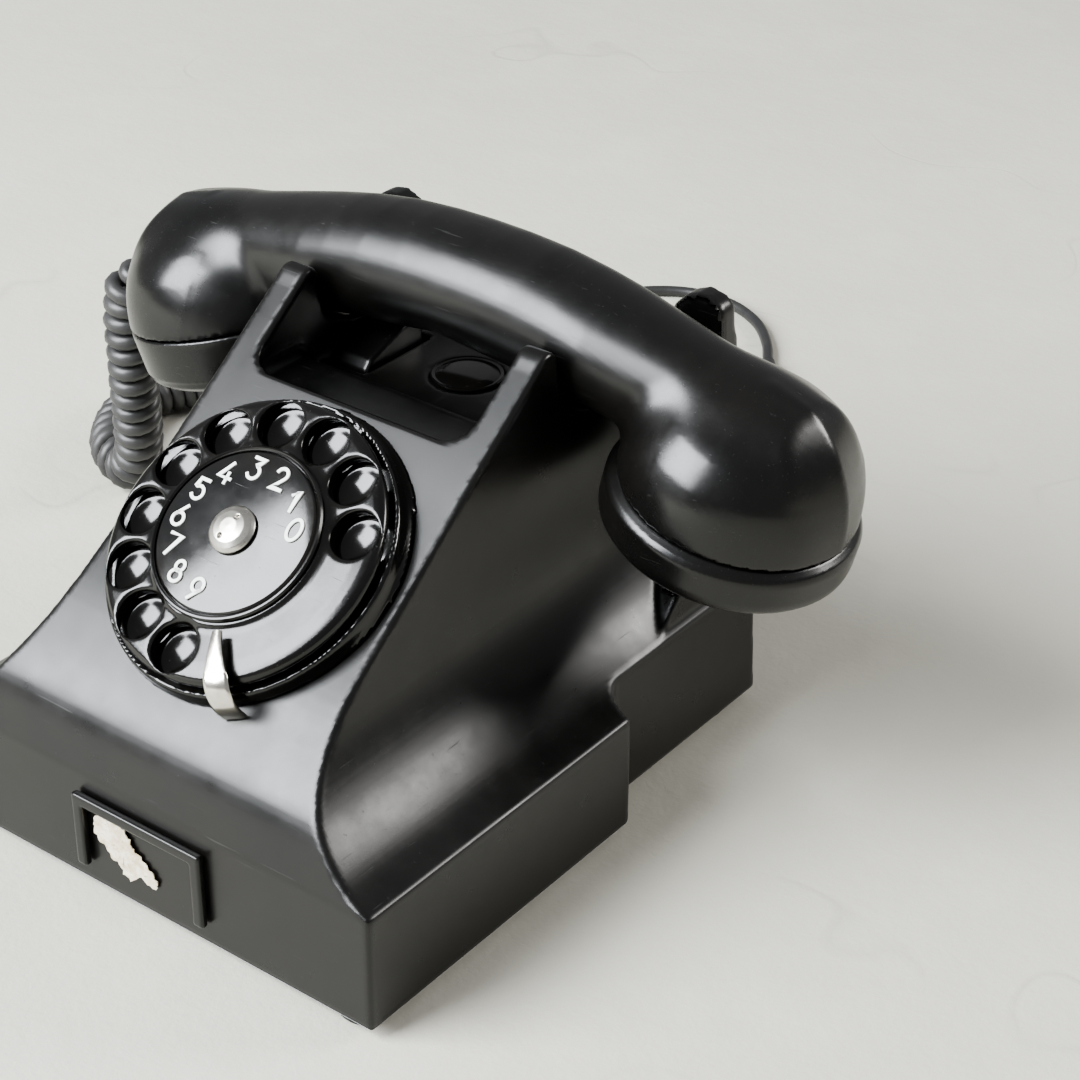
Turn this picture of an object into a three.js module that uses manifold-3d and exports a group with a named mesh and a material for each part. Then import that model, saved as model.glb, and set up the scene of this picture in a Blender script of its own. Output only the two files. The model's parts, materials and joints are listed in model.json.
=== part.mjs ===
// Rotary desk telephone: an assembly of named sub-parts, in millimetres, +Z up, front facing -Y.
// Every shape is written in a working frame whose Y = 0 is the front foot of the housing and whose
// Z = 0 is the lower edge of the housing; the exported group shifts that to the bottom centre.
import * as THREE from "three";
import { mergeVertices } from "three/addons/utils/BufferGeometryUtils.js";
import Module from "manifold-3d";

const wasm = await Module();
wasm.setup();

// ---- driving dimensions ----
const GAP = 0.3; // clearance between touching pieces
const WALL = 3.2; // moulded housing wall
const BASE_HALF = 73.7; // half width of the plinth
const PLINTH_END = 103; // the wide plinth stops here
const REAR_HALF = 63.8; // half width of the rear part
const REAR_END = 175.5; // rear foot of the housing
const REAR_LEAN = 0.079; // forward lean of the back wall, mm per mm of height
const CORNER_R = 7; // inner corner between plinth and rear part
const HORN_OUT = 43; // half width over the front horns
const HORN_IN = 34.6; // half width of the cradle well
const HORN_TOP = 126;
const REAR_HORN_OUT = 58.5;
const REAR_HORN_IN = 42;
const REAR_HORN_TOP = 123.5;
const REAR_HORN_FRONT = 159;
const SADDLE_Z = 108; // top of the cradle's side walls
const WELL_FLOOR = 97.5;
const LIP_Y = 83; // front edge of the cradle well
const LIP_Z = 106.6;
const FOOT_H = 3;
const FOOT_R = 6.5;
const ORIGIN_Y = 86.65; // middle of the object from front to back

const DIAL_Y = 40.6;
const DIAL_Z = 89.5;
const DIAL_TILT = THREE.MathUtils.degToRad(38.1); // of the dial plane from the horizontal, turned about X
const HOLE_CIRCLE = 31;
const HOLE_R = 6.6;
const HOLE_STEP = 27.5; // degrees between finger holes
const HOLE_FIRST = 21.7; // degrees from +X to the first hole
const WHEEL_R = 38.2;
const STOP_ANGLE = 297;
const DISC_R = 21.6;
const HUB_R = 6.4;
const CASE_R = 40;

const CAP_X = 84; // middle of each handset cap, left and right
const CAP_Z = 92.2;
const CAP_TILT = THREE.MathUtils.degToRad(15);
const HANDSET_Y = 130;
const GRIP_TOP = 140; // crown of the grip
const GRIP_UNDER = 108.4;
const GRIP_HALF_DEPTH = 17.6;
const CAP_R = 32.6;
const RING_R = 31;

const HOOK_X = 27.6; // middle of each hook finger
const HOOK_HALF_X = 5.4;
const HOOK_PIVOT_Y = 114;
const HOOK_PIVOT_Z = 90.3;
const PLUG_Y = 128; // round plug in the floor of the cradle well
const PLUG_R = 9.8;
const GLAND_R = 5;
const GLAND_Z = 11;
const LINE_EXIT_X = 32;
const CURLY_EXIT_X = -30;

const CURLY_R = 8; // outer radius of the coiled handset cord
const TAIL_R = 2.6; // radius of its wire
const LINE_R = 1.9; // radius of the line cord
const COIL_R = 21; // middle radius of the stowed line cord coil

// ---- materials ----
const finishes = {
  bakelite: [0x0c0c0d, 0.28, 0],
  rubber: [0x141414, 0.8, 0],
  steel: [0x8c8d8e, 0.42, 1],
  nickel: [0xb9b6ae, 0.3, 1],
  brass: [0xb08a45, 0.35, 1],
  copper: [0x9a4f2c, 0.5, 0.4],
  paper: [0xd9d2bd, 0.9, 0],
  enamel: [0x0b0b0c, 0.18, 0],
  cord: [0x101011, 0.5, 0],
};

function material(name) {
  const [color, roughness, metalness] = finishes[name];
  return new THREE.MeshStandardMaterial({ color, roughness, metalness });
}

// ---- solid helpers ----
const V = (x, y, z = 0) => new THREE.Vector3(x, y, z);

function toSolid(geometry, matrix) {
  const copy = geometry.clone();
  if (matrix) copy.applyMatrix4(matrix);
  copy.deleteAttribute("normal");
  copy.deleteAttribute("uv");
  const merged = mergeVertices(copy, 1e-4);
  const triVerts = new Uint32Array(merged.index.array);
  const vertProperties = new Float32Array(merged.attributes.position.array);
  return new wasm.Manifold(new wasm.Mesh({ numProp: 3, vertProperties, triVerts }));
}

function toGeometry(solid) {
  const mesh = solid.getMesh();
  const geometry = new THREE.BufferGeometry();
  geometry.setAttribute("position", new THREE.BufferAttribute(new Float32Array(mesh.vertProperties), 3));
  geometry.setIndex(new THREE.BufferAttribute(new Uint32Array(mesh.triVerts), 1));
  return geometry;
}

const cut = (base, ...tools) => tools.reduce((solid, tool) => solid.subtract(tool), base);
const join = (base, ...more) => more.reduce((solid, piece) => solid.add(piece), base);

function at(x, y, z) {
  return new THREE.Matrix4().makeTranslation(x, y, z);
}

function box(low, high) {
  const size = V(...high).sub(V(...low));
  const middle = V(...low).addScaledVector(size, 0.5);
  return toSolid(new THREE.BoxGeometry(size.x, size.y, size.z), at(middle.x, middle.y, middle.z));
}

// A cylinder standing on z = bottom, about a vertical axis at x, y.
function rod(x, y, bottom, top, radius, sides = 16) {
  const geometry = new THREE.CylinderGeometry(radius, radius, top - bottom, sides);
  geometry.rotateX(Math.PI / 2);
  return toSolid(geometry, at(x, y, (bottom + top) / 2));
}

// Twice the area inside an outline, positive when it runs anticlockwise.
function signedArea(points) {
  return points.reduce((sum, [x, y], i) => {
    const [nextX, nextY] = points[(i + 1) % points.length];
    return sum + x * nextY - nextX * y;
  }, 0);
}

// Turns a (radius, height) profile about the Z axis.
function turned(points, sides = 26) {
  const ordered = signedArea(points) > 0 ? points : [...points].reverse();
  const profile = ordered.map(([r, z]) => new THREE.Vector2(r, z));
  const geometry = new THREE.LatheGeometry(profile, sides);
  geometry.rotateX(Math.PI / 2);
  return geometry;
}

function shapeOf(points) {
  return new THREE.Shape(points.map(([a, b]) => new THREE.Vector2(a, b)));
}

// Pushes an outline drawn in the XZ plane from one Y to another.
function acrossY(points, fromY, toY) {
  const geometry = new THREE.ExtrudeGeometry(shapeOf(points), { depth: toY - fromY, bevelEnabled: false });
  geometry.rotateX(Math.PI / 2);
  return toSolid(geometry, at(0, toY, 0));
}

// Pushes an outline drawn in the YZ plane from one X to another.
function acrossX(points, fromX, toX) {
  const geometry = new THREE.ExtrudeGeometry(shapeOf(points), { depth: toX - fromX, bevelEnabled: false });
  geometry.rotateY(Math.PI / 2);
  geometry.rotateX(Math.PI / 2);
  return toSolid(geometry, at(fromX, 0, 0));
}

// Pushes an outline drawn in the XY plane from one Z to another.
function acrossZ(points, fromZ, toZ) {
  const geometry = new THREE.ExtrudeGeometry(shapeOf(points), { depth: toZ - fromZ, bevelEnabled: false });
  return toSolid(geometry, at(0, 0, fromZ));
}

function smooth(points, count) {
  const curve = new THREE.CatmullRomCurve3(points.map(([a, b]) => V(a, b)), false, "centripetal");
  return curve.getPoints(count).map((p) => [p.x, p.y]);
}

const mirrored = (points) => points.map(([x, z]) => [-x, z]).reverse();

function arc(cx, cy, radius, from, to, count) {
  const points = [];
  for (let i = 0; i <= count; i += 1) {
    const angle = THREE.MathUtils.degToRad(from + ((to - from) * i) / count);
    points.push([cx + radius * Math.cos(angle), cy + radius * Math.sin(angle)]);
  }
  return points;
}

const telephone = new THREE.Group();
const working = new THREE.Group(); // holds everything in the working frame
working.position.set(0, -ORIGIN_Y, FOOT_H);
telephone.add(working);

function place(parent, name, finish, shape) {
  const geometry = shape instanceof THREE.BufferGeometry ? shape : toGeometry(shape);
  const mesh = new THREE.Mesh(geometry, material(finish));
  mesh.name = name;
  parent.add(mesh);
  return mesh;
}

// ---- housing ----
// The body is where two outlines meet: a bell seen from the front and a slope seen from the side.
function bellHalf(inset) {
  const side = [[73.2, 32.8], [63.8, 38], [53.8, 48], [46.4, 62.2], [44.2, 85], [HORN_OUT, 128]];
  const flare = smooth(side, 16);
  return flare.map(([x, z]) => [x - inset, z - inset * 0.75]);
}

function bellOutline(inset, bottom) {
  const half = [[BASE_HALF - inset, bottom], ...bellHalf(inset)];
  return [...half, ...mirrored(half)];
}

const backWallAt = (z, inset = 0) => REAR_END - z * REAR_LEAN - inset;

function slopeOutline(inset, bottom) {
  const face = [[0.5, 35], [6.2, 48], [20.6, 62.2], [42, 77.7], [61.9, 92.3], [81.2, 107.1], [101.2, 122.2]];
  const front = smooth(face, 16).map(([y, z]) => [y + inset * 0.75, z - inset * 0.7]);
  const horn = [[104, HORN_TOP - 1.4], [106.5, HORN_TOP], [109, HORN_TOP - 0.8], [110.6, HORN_TOP - 3]];
  const saddle = [[110.9, 118], [114, SADDLE_Z + 2], [118, SADDLE_Z], [backWallAt(SADDLE_Z), SADDLE_Z]];
  const top = inset > 0 ? [[104, 104], [backWallAt(104, inset), 104]] : [...horn, ...saddle];
  return [[inset, bottom], ...front, ...top, [backWallAt(bottom, inset), bottom]];
}

// The back wall, whose upper corners stand up as the rear horns.
function rearBlock() {
  const side = [[PLINTH_END + 20, -1], [PLINTH_END + 20, 32], [REAR_HORN_FRONT - 4, 62]];
  const horn = [[REAR_HORN_FRONT, 100], [REAR_HORN_FRONT, REAR_HORN_TOP]];
  const back = [[backWallAt(REAR_HORN_TOP), REAR_HORN_TOP - 1], [backWallAt(-1), -1]];
  const slab = acrossX([...side, ...horn, ...back], -REAR_HALF, REAR_HALF);
  const flank = [[REAR_HALF, -1], [REAR_HORN_OUT, REAR_HORN_TOP - 2], [REAR_HORN_OUT - 2, REAR_HORN_TOP]];
  const tip = [
    [REAR_HORN_IN + 6, REAR_HORN_TOP],
    [REAR_HORN_IN + 1.6, REAR_HORN_TOP - 2], [REAR_HORN_IN, 119],
  ];
  const dip = [[REAR_HORN_IN - 2, 112], [REAR_HORN_IN - 7, SADDLE_Z]];
  const half = [...flank, ...tip, ...dip];
  return slab.intersect(acrossY([...half, ...mirrored(half)], 60, REAR_END + 1));
}

// The outline seen from above; spare lets the front, sides and back run past the body.
function planOutline(inset, spare = 0) {
  const wide = BASE_HALF + spare - inset;
  const narrow = REAR_HALF - inset;
  const corner = arc(narrow + CORNER_R, PLINTH_END + CORNER_R - inset, CORNER_R, 270, 180, 6);
  const start = [[wide, inset - spare], [wide, PLINTH_END - inset]];
  const half = [...start, ...corner, [narrow, REAR_END + spare - inset]];
  return [...half, ...mirrored(half)];
}

// The cradle well: a shallow shelf behind the lip, then a deeper floor.
function wellSolid(grow) {
  const low = WELL_FLOOR - grow;
  const shelf = [[LIP_Y - grow, LIP_Z - 1.5 - grow], [LIP_Y + 17.5 - grow, LIP_Z - 2.6 - grow]];
  const floor = [[LIP_Y + 21 - grow, low], [REAR_HORN_FRONT + grow, low], [REAR_HORN_FRONT + grow, 160]];
  return acrossX([[LIP_Y - grow, 160], ...shelf, ...floor], -HORN_IN - grow, HORN_IN + grow);
}

function housing() {
  const height = HORN_TOP + 5;
  const bell = acrossY(bellOutline(0, 0), -1, REAR_END + 1);
  const slope = acrossX(slopeOutline(0, 0), -BASE_HALF - 5, BASE_HALF + 5);
  const above = box([-BASE_HALF - 5, -5, 0], [BASE_HALF + 5, REAR_END + 5, height]);
  const outer = join(bell.intersect(slope), rearBlock()).intersect(acrossZ(planOutline(0, 2), -2, height));
  const innerBell = acrossY(bellOutline(WALL, -1), WALL, REAR_END - WALL);
  const innerSlope = acrossX(slopeOutline(WALL, -1), -BASE_HALF, BASE_HALF);
  const innerPlan = acrossZ(planOutline(WALL), -2, height);
  const inner = cut(innerBell.intersect(innerSlope).intersect(innerPlan), wellSolid(WALL));
  const dialHole = toSolid(new THREE.CylinderGeometry(35, 35, 30, 28).rotateX(Math.PI / 2), dialMatrix);
  const slots = [-1, 1].map((side) => {
    const x = side * HOOK_X;
    const half = HOOK_HALF_X + GAP + 0.2;
    return box([x - half, HOOK_PIVOT_Y - 2, WELL_FLOOR - 8], [x + half, HOOK_PIVOT_Y + 25, WELL_FLOOR + 2]);
  });
  const plugSeat = rod(0, PLUG_Y, WELL_FLOOR - 1.2, WELL_FLOOR + 2, PLUG_R + GAP, 20);
  const plugHole = rod(0, PLUG_Y, WELL_FLOOR - 8, WELL_FLOOR, PLUG_R - 4, 14);
  const exits = [LINE_EXIT_X, CURLY_EXIT_X].map((x) => {
    return toSolid(new THREE.CylinderGeometry(GLAND_R, GLAND_R, 24, 14), at(x, REAR_END, GLAND_Z));
  });
  const shell = cut(outer.intersect(above), inner, wellSolid(0), dialHole, ...slots, plugSeat, plugHole);
  return cut(shell, ...exits, gripSolid(GAP + 0.15));
}

// ---- handset shapes, in the working frame ----
const capMatrices = [-1, 1].map((side) => {
  const turn = new THREE.Matrix4().makeRotationY(side * CAP_TILT);
  return turn.setPosition(side * CAP_X, HANDSET_Y, CAP_Z);
});

// The cord boot leaves the transmitter end of the handset towards its back.
const BOOT_R = 4.4;
const BOOT_FROM = [-110, 130.5, 103];
const BOOT_TO = [-128, 134.3, 87.5];

function matrixAlong(from, to) {
  const direction = V(...to).sub(V(...from)).normalize();
  const turn = new THREE.Quaternion().setFromUnitVectors(V(0, 0, 1), direction);
  return new THREE.Matrix4().makeRotationFromQuaternion(turn).setPosition(...from);
}

// A plain round bar that runs a little past both points.
function rodBetween(from, to, radius) {
  const length = V(...from).distanceTo(V(...to));
  const bar = new THREE.CylinderGeometry(radius, radius, length + 2, 14).rotateX(Math.PI / 2);
  return toSolid(bar, matrixAlong(from, to).multiply(at(0, 0, length / 2)));
}

// Section of the grip at a distance along X: middle height, half height and half depth.
function gripSection(x) {
  const t = Math.min(Math.abs(x) / 92, 1);
  const top = GRIP_TOP - 16.9 * Math.pow(t, 1.75);
  const late = Math.max(t - 0.5, 0) * 2;
  const bottom = GRIP_UNDER - 1.4 * t - 16.5 * t * t + 8 * late * late;
  const halfDepth = GRIP_HALF_DEPTH - 1.8 * late;
  return { middle: (top + bottom) / 2, halfHeight: (top - bottom) / 2, halfDepth };
}

// A closed loft through oval sections along X.
function gripSolid(grow) {
  const rings = 12;
  const sides = 16;
  const points = [];
  const index = [];
  for (let i = 0; i <= rings; i += 1) {
    const x = -92 + (184 * i) / rings;
    const { middle, halfHeight, halfDepth } = gripSection(x);
    for (let j = 0; j < sides; j += 1) {
      const angle = (2 * Math.PI * j) / sides;
      const y = HANDSET_Y + (halfDepth + grow) * Math.cos(angle);
      points.push(x, y, middle + (halfHeight + grow) * Math.sin(angle));
    }
  }
  for (let i = 0; i < rings; i += 1) {
    for (let j = 0; j < sides; j += 1) {
      const k = (j + 1) % sides;
      const a = i * sides + j;
      const b = i * sides + k;
      index.push(a, b, b + sides, a, b + sides, a + sides);
    }
  }
  for (let j = 1; j < sides - 1; j += 1) {
    index.push(0, j + 1, j);
    index.push(rings * sides, rings * sides + j, rings * sides + j + 1);
  }
  const geometry = new THREE.BufferGeometry();
  geometry.setAttribute("position", new THREE.Float32BufferAttribute(points, 3));
  geometry.setIndex(index);
  return toSolid(geometry);
}

function handsetShell() {
  const dome = [[0, 0], [RING_R, 0], [RING_R, 6], [29.8, 13], [26.5, 19.5], [20.5, 25], [12, 28.6], [0, 30]];
  const hollow = [[0, -1], [26.5, -1], [26.5, 5], [24, 12], [16, 18], [0, 20]];
  const domes = capMatrices.map((m) => toSolid(turned(dome, 22), m));
  const hollows = capMatrices.map((m) => toSolid(turned(hollow, 16), m));
  const bootHole = rodBetween(BOOT_FROM, BOOT_TO, BOOT_R + GAP);
  return cut(join(gripSolid(0), ...domes), ...hollows, bootHole);
}

function soundHoles(count, radius, bottom, top, matrix) {
  const holes = [];
  for (let i = 0; i < count; i += 1) {
    const angle = (2 * Math.PI * i) / count;
    const spot = at(radius * Math.cos(angle), radius * Math.sin(angle), 0);
    const drill = new THREE.CylinderGeometry(1.5, 1.5, top - bottom, 8).rotateX(Math.PI / 2);
    holes.push(toSolid(drill, matrix.clone().multiply(spot).multiply(at(0, 0, (top + bottom) / 2))));
  }
  return holes;
}

function receiverCap() {
  const cheek = [[0, -11], [20, -12.2], [28, -14.3], [31.6, -13.2]];
  const bowl = [...cheek, [CAP_R, -10.5], [CAP_R, -7], [RING_R, -GAP]];
  const bore = [[26.8, -GAP], [26.8, -9], [0, -8.6]];
  const cap = toSolid(turned([...bowl, ...bore], 26), capMatrices[1]);
  return cut(cap, ...soundHoles(6, 8, -14, -7, capMatrices[1]));
}

function transmitterCap() {
  const bowl = [[0, -17.6], [20, -16.8], [27, -15], [29.6, -12.6], [RING_R, -GAP]];
  const bore = [[26.8, -GAP], [26.8, -10], [0, -11]];
  const cap = toSolid(turned([...bowl, ...bore], 26), capMatrices[0]);
  return cut(cap, ...soundHoles(8, 9, -20, -9, capMatrices[0]));
}

const capsule = [[0, -8.2], [25.6, -8.2], [26, -7.6], [26, 1.6], [22, 3], [10, 5.5], [0, 6]];

// ---- dial, in its own frame: Z = 0 on the plane of the finger holes, +Y up the face ----
const dialMatrix = new THREE.Matrix4().makeRotationX(DIAL_TILT).setPosition(0, DIAL_Y, DIAL_Z);

function fingerWheel() {
  const rim = [[5, -4.4], [37.4, -4.4], [WHEEL_R, -3.4], [WHEEL_R, -1.6], [37.2, -0.3], [35.5, 0]];
  const rise = [[25.5, 0.2], [23.8, 1], [23.8, 1.2], [5, 1.2], [5, -4.4]];
  const wheel = toSolid(turned([...rim, ...rise], 40));
  const holes = [];
  for (let k = 0; k < 10; k += 1) {
    const angle = THREE.MathUtils.degToRad(HOLE_FIRST + k * HOLE_STEP);
    holes.push(rod(HOLE_CIRCLE * Math.cos(angle), HOLE_CIRCLE * Math.sin(angle), -6, 3, HOLE_R - 0.4, 14));
  }
  return cut(wheel, ...holes);
}

// The collar round the wheel and the floor under it, with a sleeve into the housing.
function dialCase() {
  const rim = [[CASE_R - 0.3, -4.6], [CASE_R, -5.2], [CASE_R + 0.4, -8]];
  const collar = [[8, -5], [38.7, -5], [38.9, -4.6], ...rim];
  const skirt = [[CASE_R + 2, -11], [CASE_R + 2, -16], [8, -16], [8, -5]];
  const ring = toSolid(turned([...collar, ...skirt], 36), dialMatrix);
  const raised = acrossX(slopeOutline(-GAP - 0.1, 0), -BASE_HALF, BASE_HALF);
  const hollow = toSolid(turned([[0, -6.6], [32.4, -6.6], [32.4, -30], [0, -30]], 28), dialMatrix);
  const wall = [[32.4, -6.6], [34.6, -6.6], [34.6, -20], [32.4, -20], [32.4, -6.6]];
  const sleeve = toSolid(turned(wall, 28), dialMatrix);
  return cut(join(cut(ring, raised), sleeve), hollow);
}

function fingerStop() {
  const inner = [[25.6, 1.8], [27, 1.9], [37.5, 1.4], [40.6, -0.6], [41.4, -3]];
  const foot = [[42.5, -8.4], [43.9, -8.4], [42.7, -2.6], [41.6, 0.4], [38, 2.8], [26.5, 3.2]];
  const arm = acrossY([...inner, ...foot].reverse(), -3.4, 3.4);
  const slim = [[24, -4], [45, -4], [45, 3.4], [40, 3.2], [34, 1.2], [29, 0.6], [24, 0.9]];
  const plan = acrossZ(slim, -12, 6);
  const turn = new THREE.Matrix4().makeRotationZ(THREE.MathUtils.degToRad(STOP_ANGLE));
  return arm.intersect(plan).transform(turn.elements);
}

// A flat gear about the Z axis, with slim straight-sided teeth.
function gearSolid(teeth, pitchRadius, bore, bottom, top, phase) {
  const outline = [];
  const step = (2 * Math.PI) / teeth;
  const parts = [[-0.22, -0.62], [-0.11, 0.5], [0.11, 0.5], [0.22, -0.62]];
  for (let i = 0; i < teeth; i += 1) {
    for (const [side, lift] of parts) {
      const angle = (i + side + phase) * step;
      outline.push([(pitchRadius + lift) * Math.cos(angle), (pitchRadius + lift) * Math.sin(angle)]);
    }
  }
  return cut(acrossZ(outline, bottom, top), rod(0, 0, bottom - 1, top + 1, bore, 14));
}

// ---- cords: a section of equal sides swept along a smooth route ----
function cordSolid(route, radius, sides, steps) {
  const curve = new THREE.CatmullRomCurve3(route.map((p) => V(...p)), false, "centripetal");
  const round = arc(0, 0, radius, 0, 360 - 360 / sides, sides - 1);
  const section = new THREE.Shape(round.map((p) => new THREE.Vector2(...p)));
  return new THREE.ExtrudeGeometry(section, { steps, bevelEnabled: false, extrudePath: curve });
}

// A tapered sleeve along +Y out of the back wall, open in the middle for its cord.
function exitSleeve(x, wire) {
  const bore = wire + GAP;
  const outside = [[bore, 170], [GLAND_R - GAP, 170], [GLAND_R - GAP, 175.4], [6.4, 175.4], [6.4, 177.4]];
  const taper = [[4.9, 178.4], [wire + 1.1, 196], [bore, 196], [bore, 170]];
  const geometry = turned([...outside, ...taper], 14);
  geometry.rotateX(-Math.PI / 2);
  return toSolid(geometry, at(x, 0, GLAND_Z));
}

const FLOOR = -FOOT_H;
const lineLow = FLOOR + LINE_R;
const curlyLow = FLOOR + CURLY_R;
const tailLow = FLOOR + TAIL_R;

const curlyRoute = [
  [-128.4, 134.4, 87.15], [-133.2, 135.5, 81.5], [-136.8, 136.9, 71],
  [-138.8, 138.5, 59.5], [-141, 140.5, 48],
  [-144, 143.2, 36], [-147, 146, 23.5], [-150.8, 148.4, 12.6],
  [-158, 150.6, curlyLow], [-167, 154, curlyLow],
  [-176, 162, curlyLow], [-183, 173.5, curlyLow], [-186, 187, curlyLow], [-181, 201, curlyLow],
  [-169, 210.5, curlyLow], [-150, 214.5, curlyLow], [-125, 215.3, curlyLow], [-98, 215, curlyLow],
];
const tailRoute = [
  [-97, 215, curlyLow], [-93, 215, curlyLow - 0.4], [-85, 215, tailLow + 1.6],
  [-78, 215.4, tailLow], [-66, 217, tailLow], [-52, 219.5, tailLow],
  [-40, 218.5, tailLow + 1], [-33, 211, tailLow + 5], [-30.4, 202, GLAND_Z - 1],
  [CURLY_EXIT_X, 196.3, GLAND_Z],
];
const lineRoute = [
  [LINE_EXIT_X, 196.3, GLAND_Z], [32, 204, 10.4], [31, 215, 6],
  [28.5, 227, 1.2], [24, 240, lineLow], [14, 258, lineLow],
  [1, 281, lineLow], [-13, 303, lineLow], [-26.4, 322, lineLow],
];
const lineFarRoute = [
  [-43.2, 345, lineLow], [-52, 357.5, lineLow], [-64, 369, lineLow],
  [-79, 375.5, lineLow], [-96, 374.5, lineLow],
  [-111, 364, lineLow], [-120, 347, lineLow], [-121.5, 328, lineLow],
  [-117, 310, lineLow], [-108, 293, lineLow],
  [-100.5, 280, lineLow], [-94.5, 269, lineLow], [-89.6, 262, lineLow],
];
const coilMiddle = [-62, 254];

function sleeveBetween(from, to, radius, bore) {
  const length = V(...from).distanceTo(V(...to));
  const outer = [[radius - 0.6, 0], [radius, 1.5], [radius, length - 1.5], [radius - 0.6, length]];
  const profile = [[bore, 0], ...outer, [bore, length]];
  const geometry = turned([...profile, [bore, 0]], 12);
  return toSolid(geometry, matrixAlong(from, to));
}

// ---- fixed pieces of the base ----
function buildBase() {
  place(working, "housing", "bakelite", housing());

  const front = [["front_left", -64, 9], ["front_right", 64, 9]];
  const corners = [...front, ["rear_left", -55, 161], ["rear_right", 55, 161]];
  const holes = corners.map(([, x, y]) => rod(x, y, 0, 4, 1.8, 12));
  place(working, "base_plate", "steel", cut(acrossZ(planOutline(WALL + 0.5), 1, 2.2), ...holes));
  const edge = [[FOOT_R - 0.4, -3], [FOOT_R + 0.4, -2.2], [FOOT_R + 0.4, -0.4]];
  const pad = [[0, -3], ...edge, [5, -0.4], [5, 0.7], [1.8, 0.7]];
  const screw = [[0, -1.1], [1.5, -1.1], [1.5, 2.5], [3.4, 2.5], [3, 3.9], [0, 4.2]];
  corners.forEach(([name, x, y]) => {
    const foot = toSolid(turned([...pad, [1.8, -1.4], [0, -1.4]], 16), at(x, y, 0));
    place(working, `foot_${name}`, "rubber", foot);
    place(working, `foot_screw_${name}`, "steel", toSolid(turned(screw, 10), at(x, y, 0)));
  });

  const frame = cut(box([-21.7, -2.2, 6.4], [21.7, -0.1, 28.2]), box([-18.2, -3, 5], [18.2, 1, 25.2]));
  const clear = acrossX([[-0.1, 0], [3, 0], [3, 40], [0.45, 40], [0.35, 34]], -40, 40);
  place(working, "card_frame", "bakelite", cut(frame, clear));
  place(working, "name_card", "paper", box([-17.6, -0.6, 7.2], [17.6, -0.2, 24.6]));

  const head = [[PLUG_R, 0.2], [PLUG_R, 1], [PLUG_R - 0.6, 1.5], [0, 1.6]];
  const plug = [[0, -1], [PLUG_R - 4.4, -1], [PLUG_R - 4.4, 0.2], ...head];
  place(working, "well_plug", "bakelite", toSolid(turned(plug, 20), at(0, PLUG_Y, WELL_FLOOR - 1.1)));
}

// ---- dial and its mechanism ----
const GEAR_TEETH = 48;
const PINION_TEETH = 8;
const GEAR_R = 19.5;
const PINION_R = (GEAR_R * PINION_TEETH) / GEAR_TEETH;
const PINION_OFFSET = GEAR_R + PINION_R + 0.35;

function buildDial() {
  place(working, "dial_case", "bakelite", dialCase());
  const dial = new THREE.Group();
  dial.position.set(0, DIAL_Y, DIAL_Z);
  dial.rotation.x = DIAL_TILT;
  working.add(dial);

  place(dial, "finger_stop", "nickel", fingerStop());
  place(dial, "finger_wheel", "bakelite", fingerWheel());
  const face = [[2.9, 1.6], [DISC_R, 1.6], [DISC_R, 2.5], [19, 2.9], [2.9, 3.2], [2.9, 1.6]];
  place(dial, "number_disc", "enamel", turned(face, 36));
  const bezel = [[21.9, 1.6], [23.4, 1.6], [23.3, 2.4], [22.6, 2.9], [21.9, 2.6], [21.9, 1.6]];
  place(dial, "number_disc_ring", "bakelite", turned(bezel, 36));
  const dome = [[0, 4.6], [2.8, 4.6], [2.8, 3.5], [HUB_R, 3.5], [HUB_R, 4], [5.2, 5.2], [3, 6], [0, 6.3]];
  const spanner = [-1, 1].map((side) => rod(side * 0.9, side * 2.9, 5.2, 7, 0.7, 8));
  place(dial, "hub_cap", "nickel", cut(toSolid(turned(dome, 22)), ...spanner));
  const shaft = [[0, -36], [2.9, -36], [2.9, -7], [4.6, -7], [4.6, 1.3], [2.5, 1.3], [2.5, 4.2], [0, 4.2]];
  place(dial, "dial_shaft", "steel", turned(shaft, 16));
  place(dial, "main_gear", "brass", gearSolid(GEAR_TEETH, GEAR_R, 3.2, -20, -18.2, 0));

  const plateHole = rod(0, PINION_OFFSET, -15, -10, 1.6, 12);
  const plate = cut(rod(0, 0, -13, -11.6, 31.5, 28), rod(0, 0, -15, -10, 3.3, 12), plateHole);
  place(dial, "dial_plate", "steel", plate);
  const strap = [[-6, -30], [6, -30], [6, 8], [18, 20], [18, 30], [-18, 30], [-18, 20], [-6, 8]];
  const pillars = [[0, -27], [15, 26], [-15, 26]].map(([x, y]) => rod(x, y, -31.5, -13.3, 1.9, 12));
  const bridge = join(acrossZ(strap, -32.6, -31.2), ...pillars);
  const bridgeHoles = [rod(0, 0, -40, -30, 3.3, 12), rod(0, PINION_OFFSET, -40, -30, 1.6, 12)];
  place(dial, "dial_bridge", "steel", cut(bridge, ...bridgeHoles));
  const barrel = [[3.3, -30.8], [10.5, -30.8], [10.5, -23], [3.3, -23], [3.3, -30.8]];
  place(dial, "spring_barrel", "steel", turned(barrel, 20));
  const leaves = [-1, 1].map((side) => box([-27.6 + side * 1.2, -9, -27], [-27.2 + side * 1.2, 12, -24]));
  place(dial, "pulse_contacts", "brass", join(box([-28.6, -12, -29.5], [-24.6, -4, -15]), ...leaves));

  const spindle = rod(0, 0, -33.4, -11, 1.25, 12);
  const pinion = gearSolid(PINION_TEETH, PINION_R, 0.8, -20.3, -17.9, 0.5);
  const rotor = join(rod(0, 0, -29, -26, 6.6, 14), spindle, pinion);
  const governor = place(dial, "governor", "brass", rotor);
  governor.position.set(0, PINION_OFFSET, 0);
}

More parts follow.
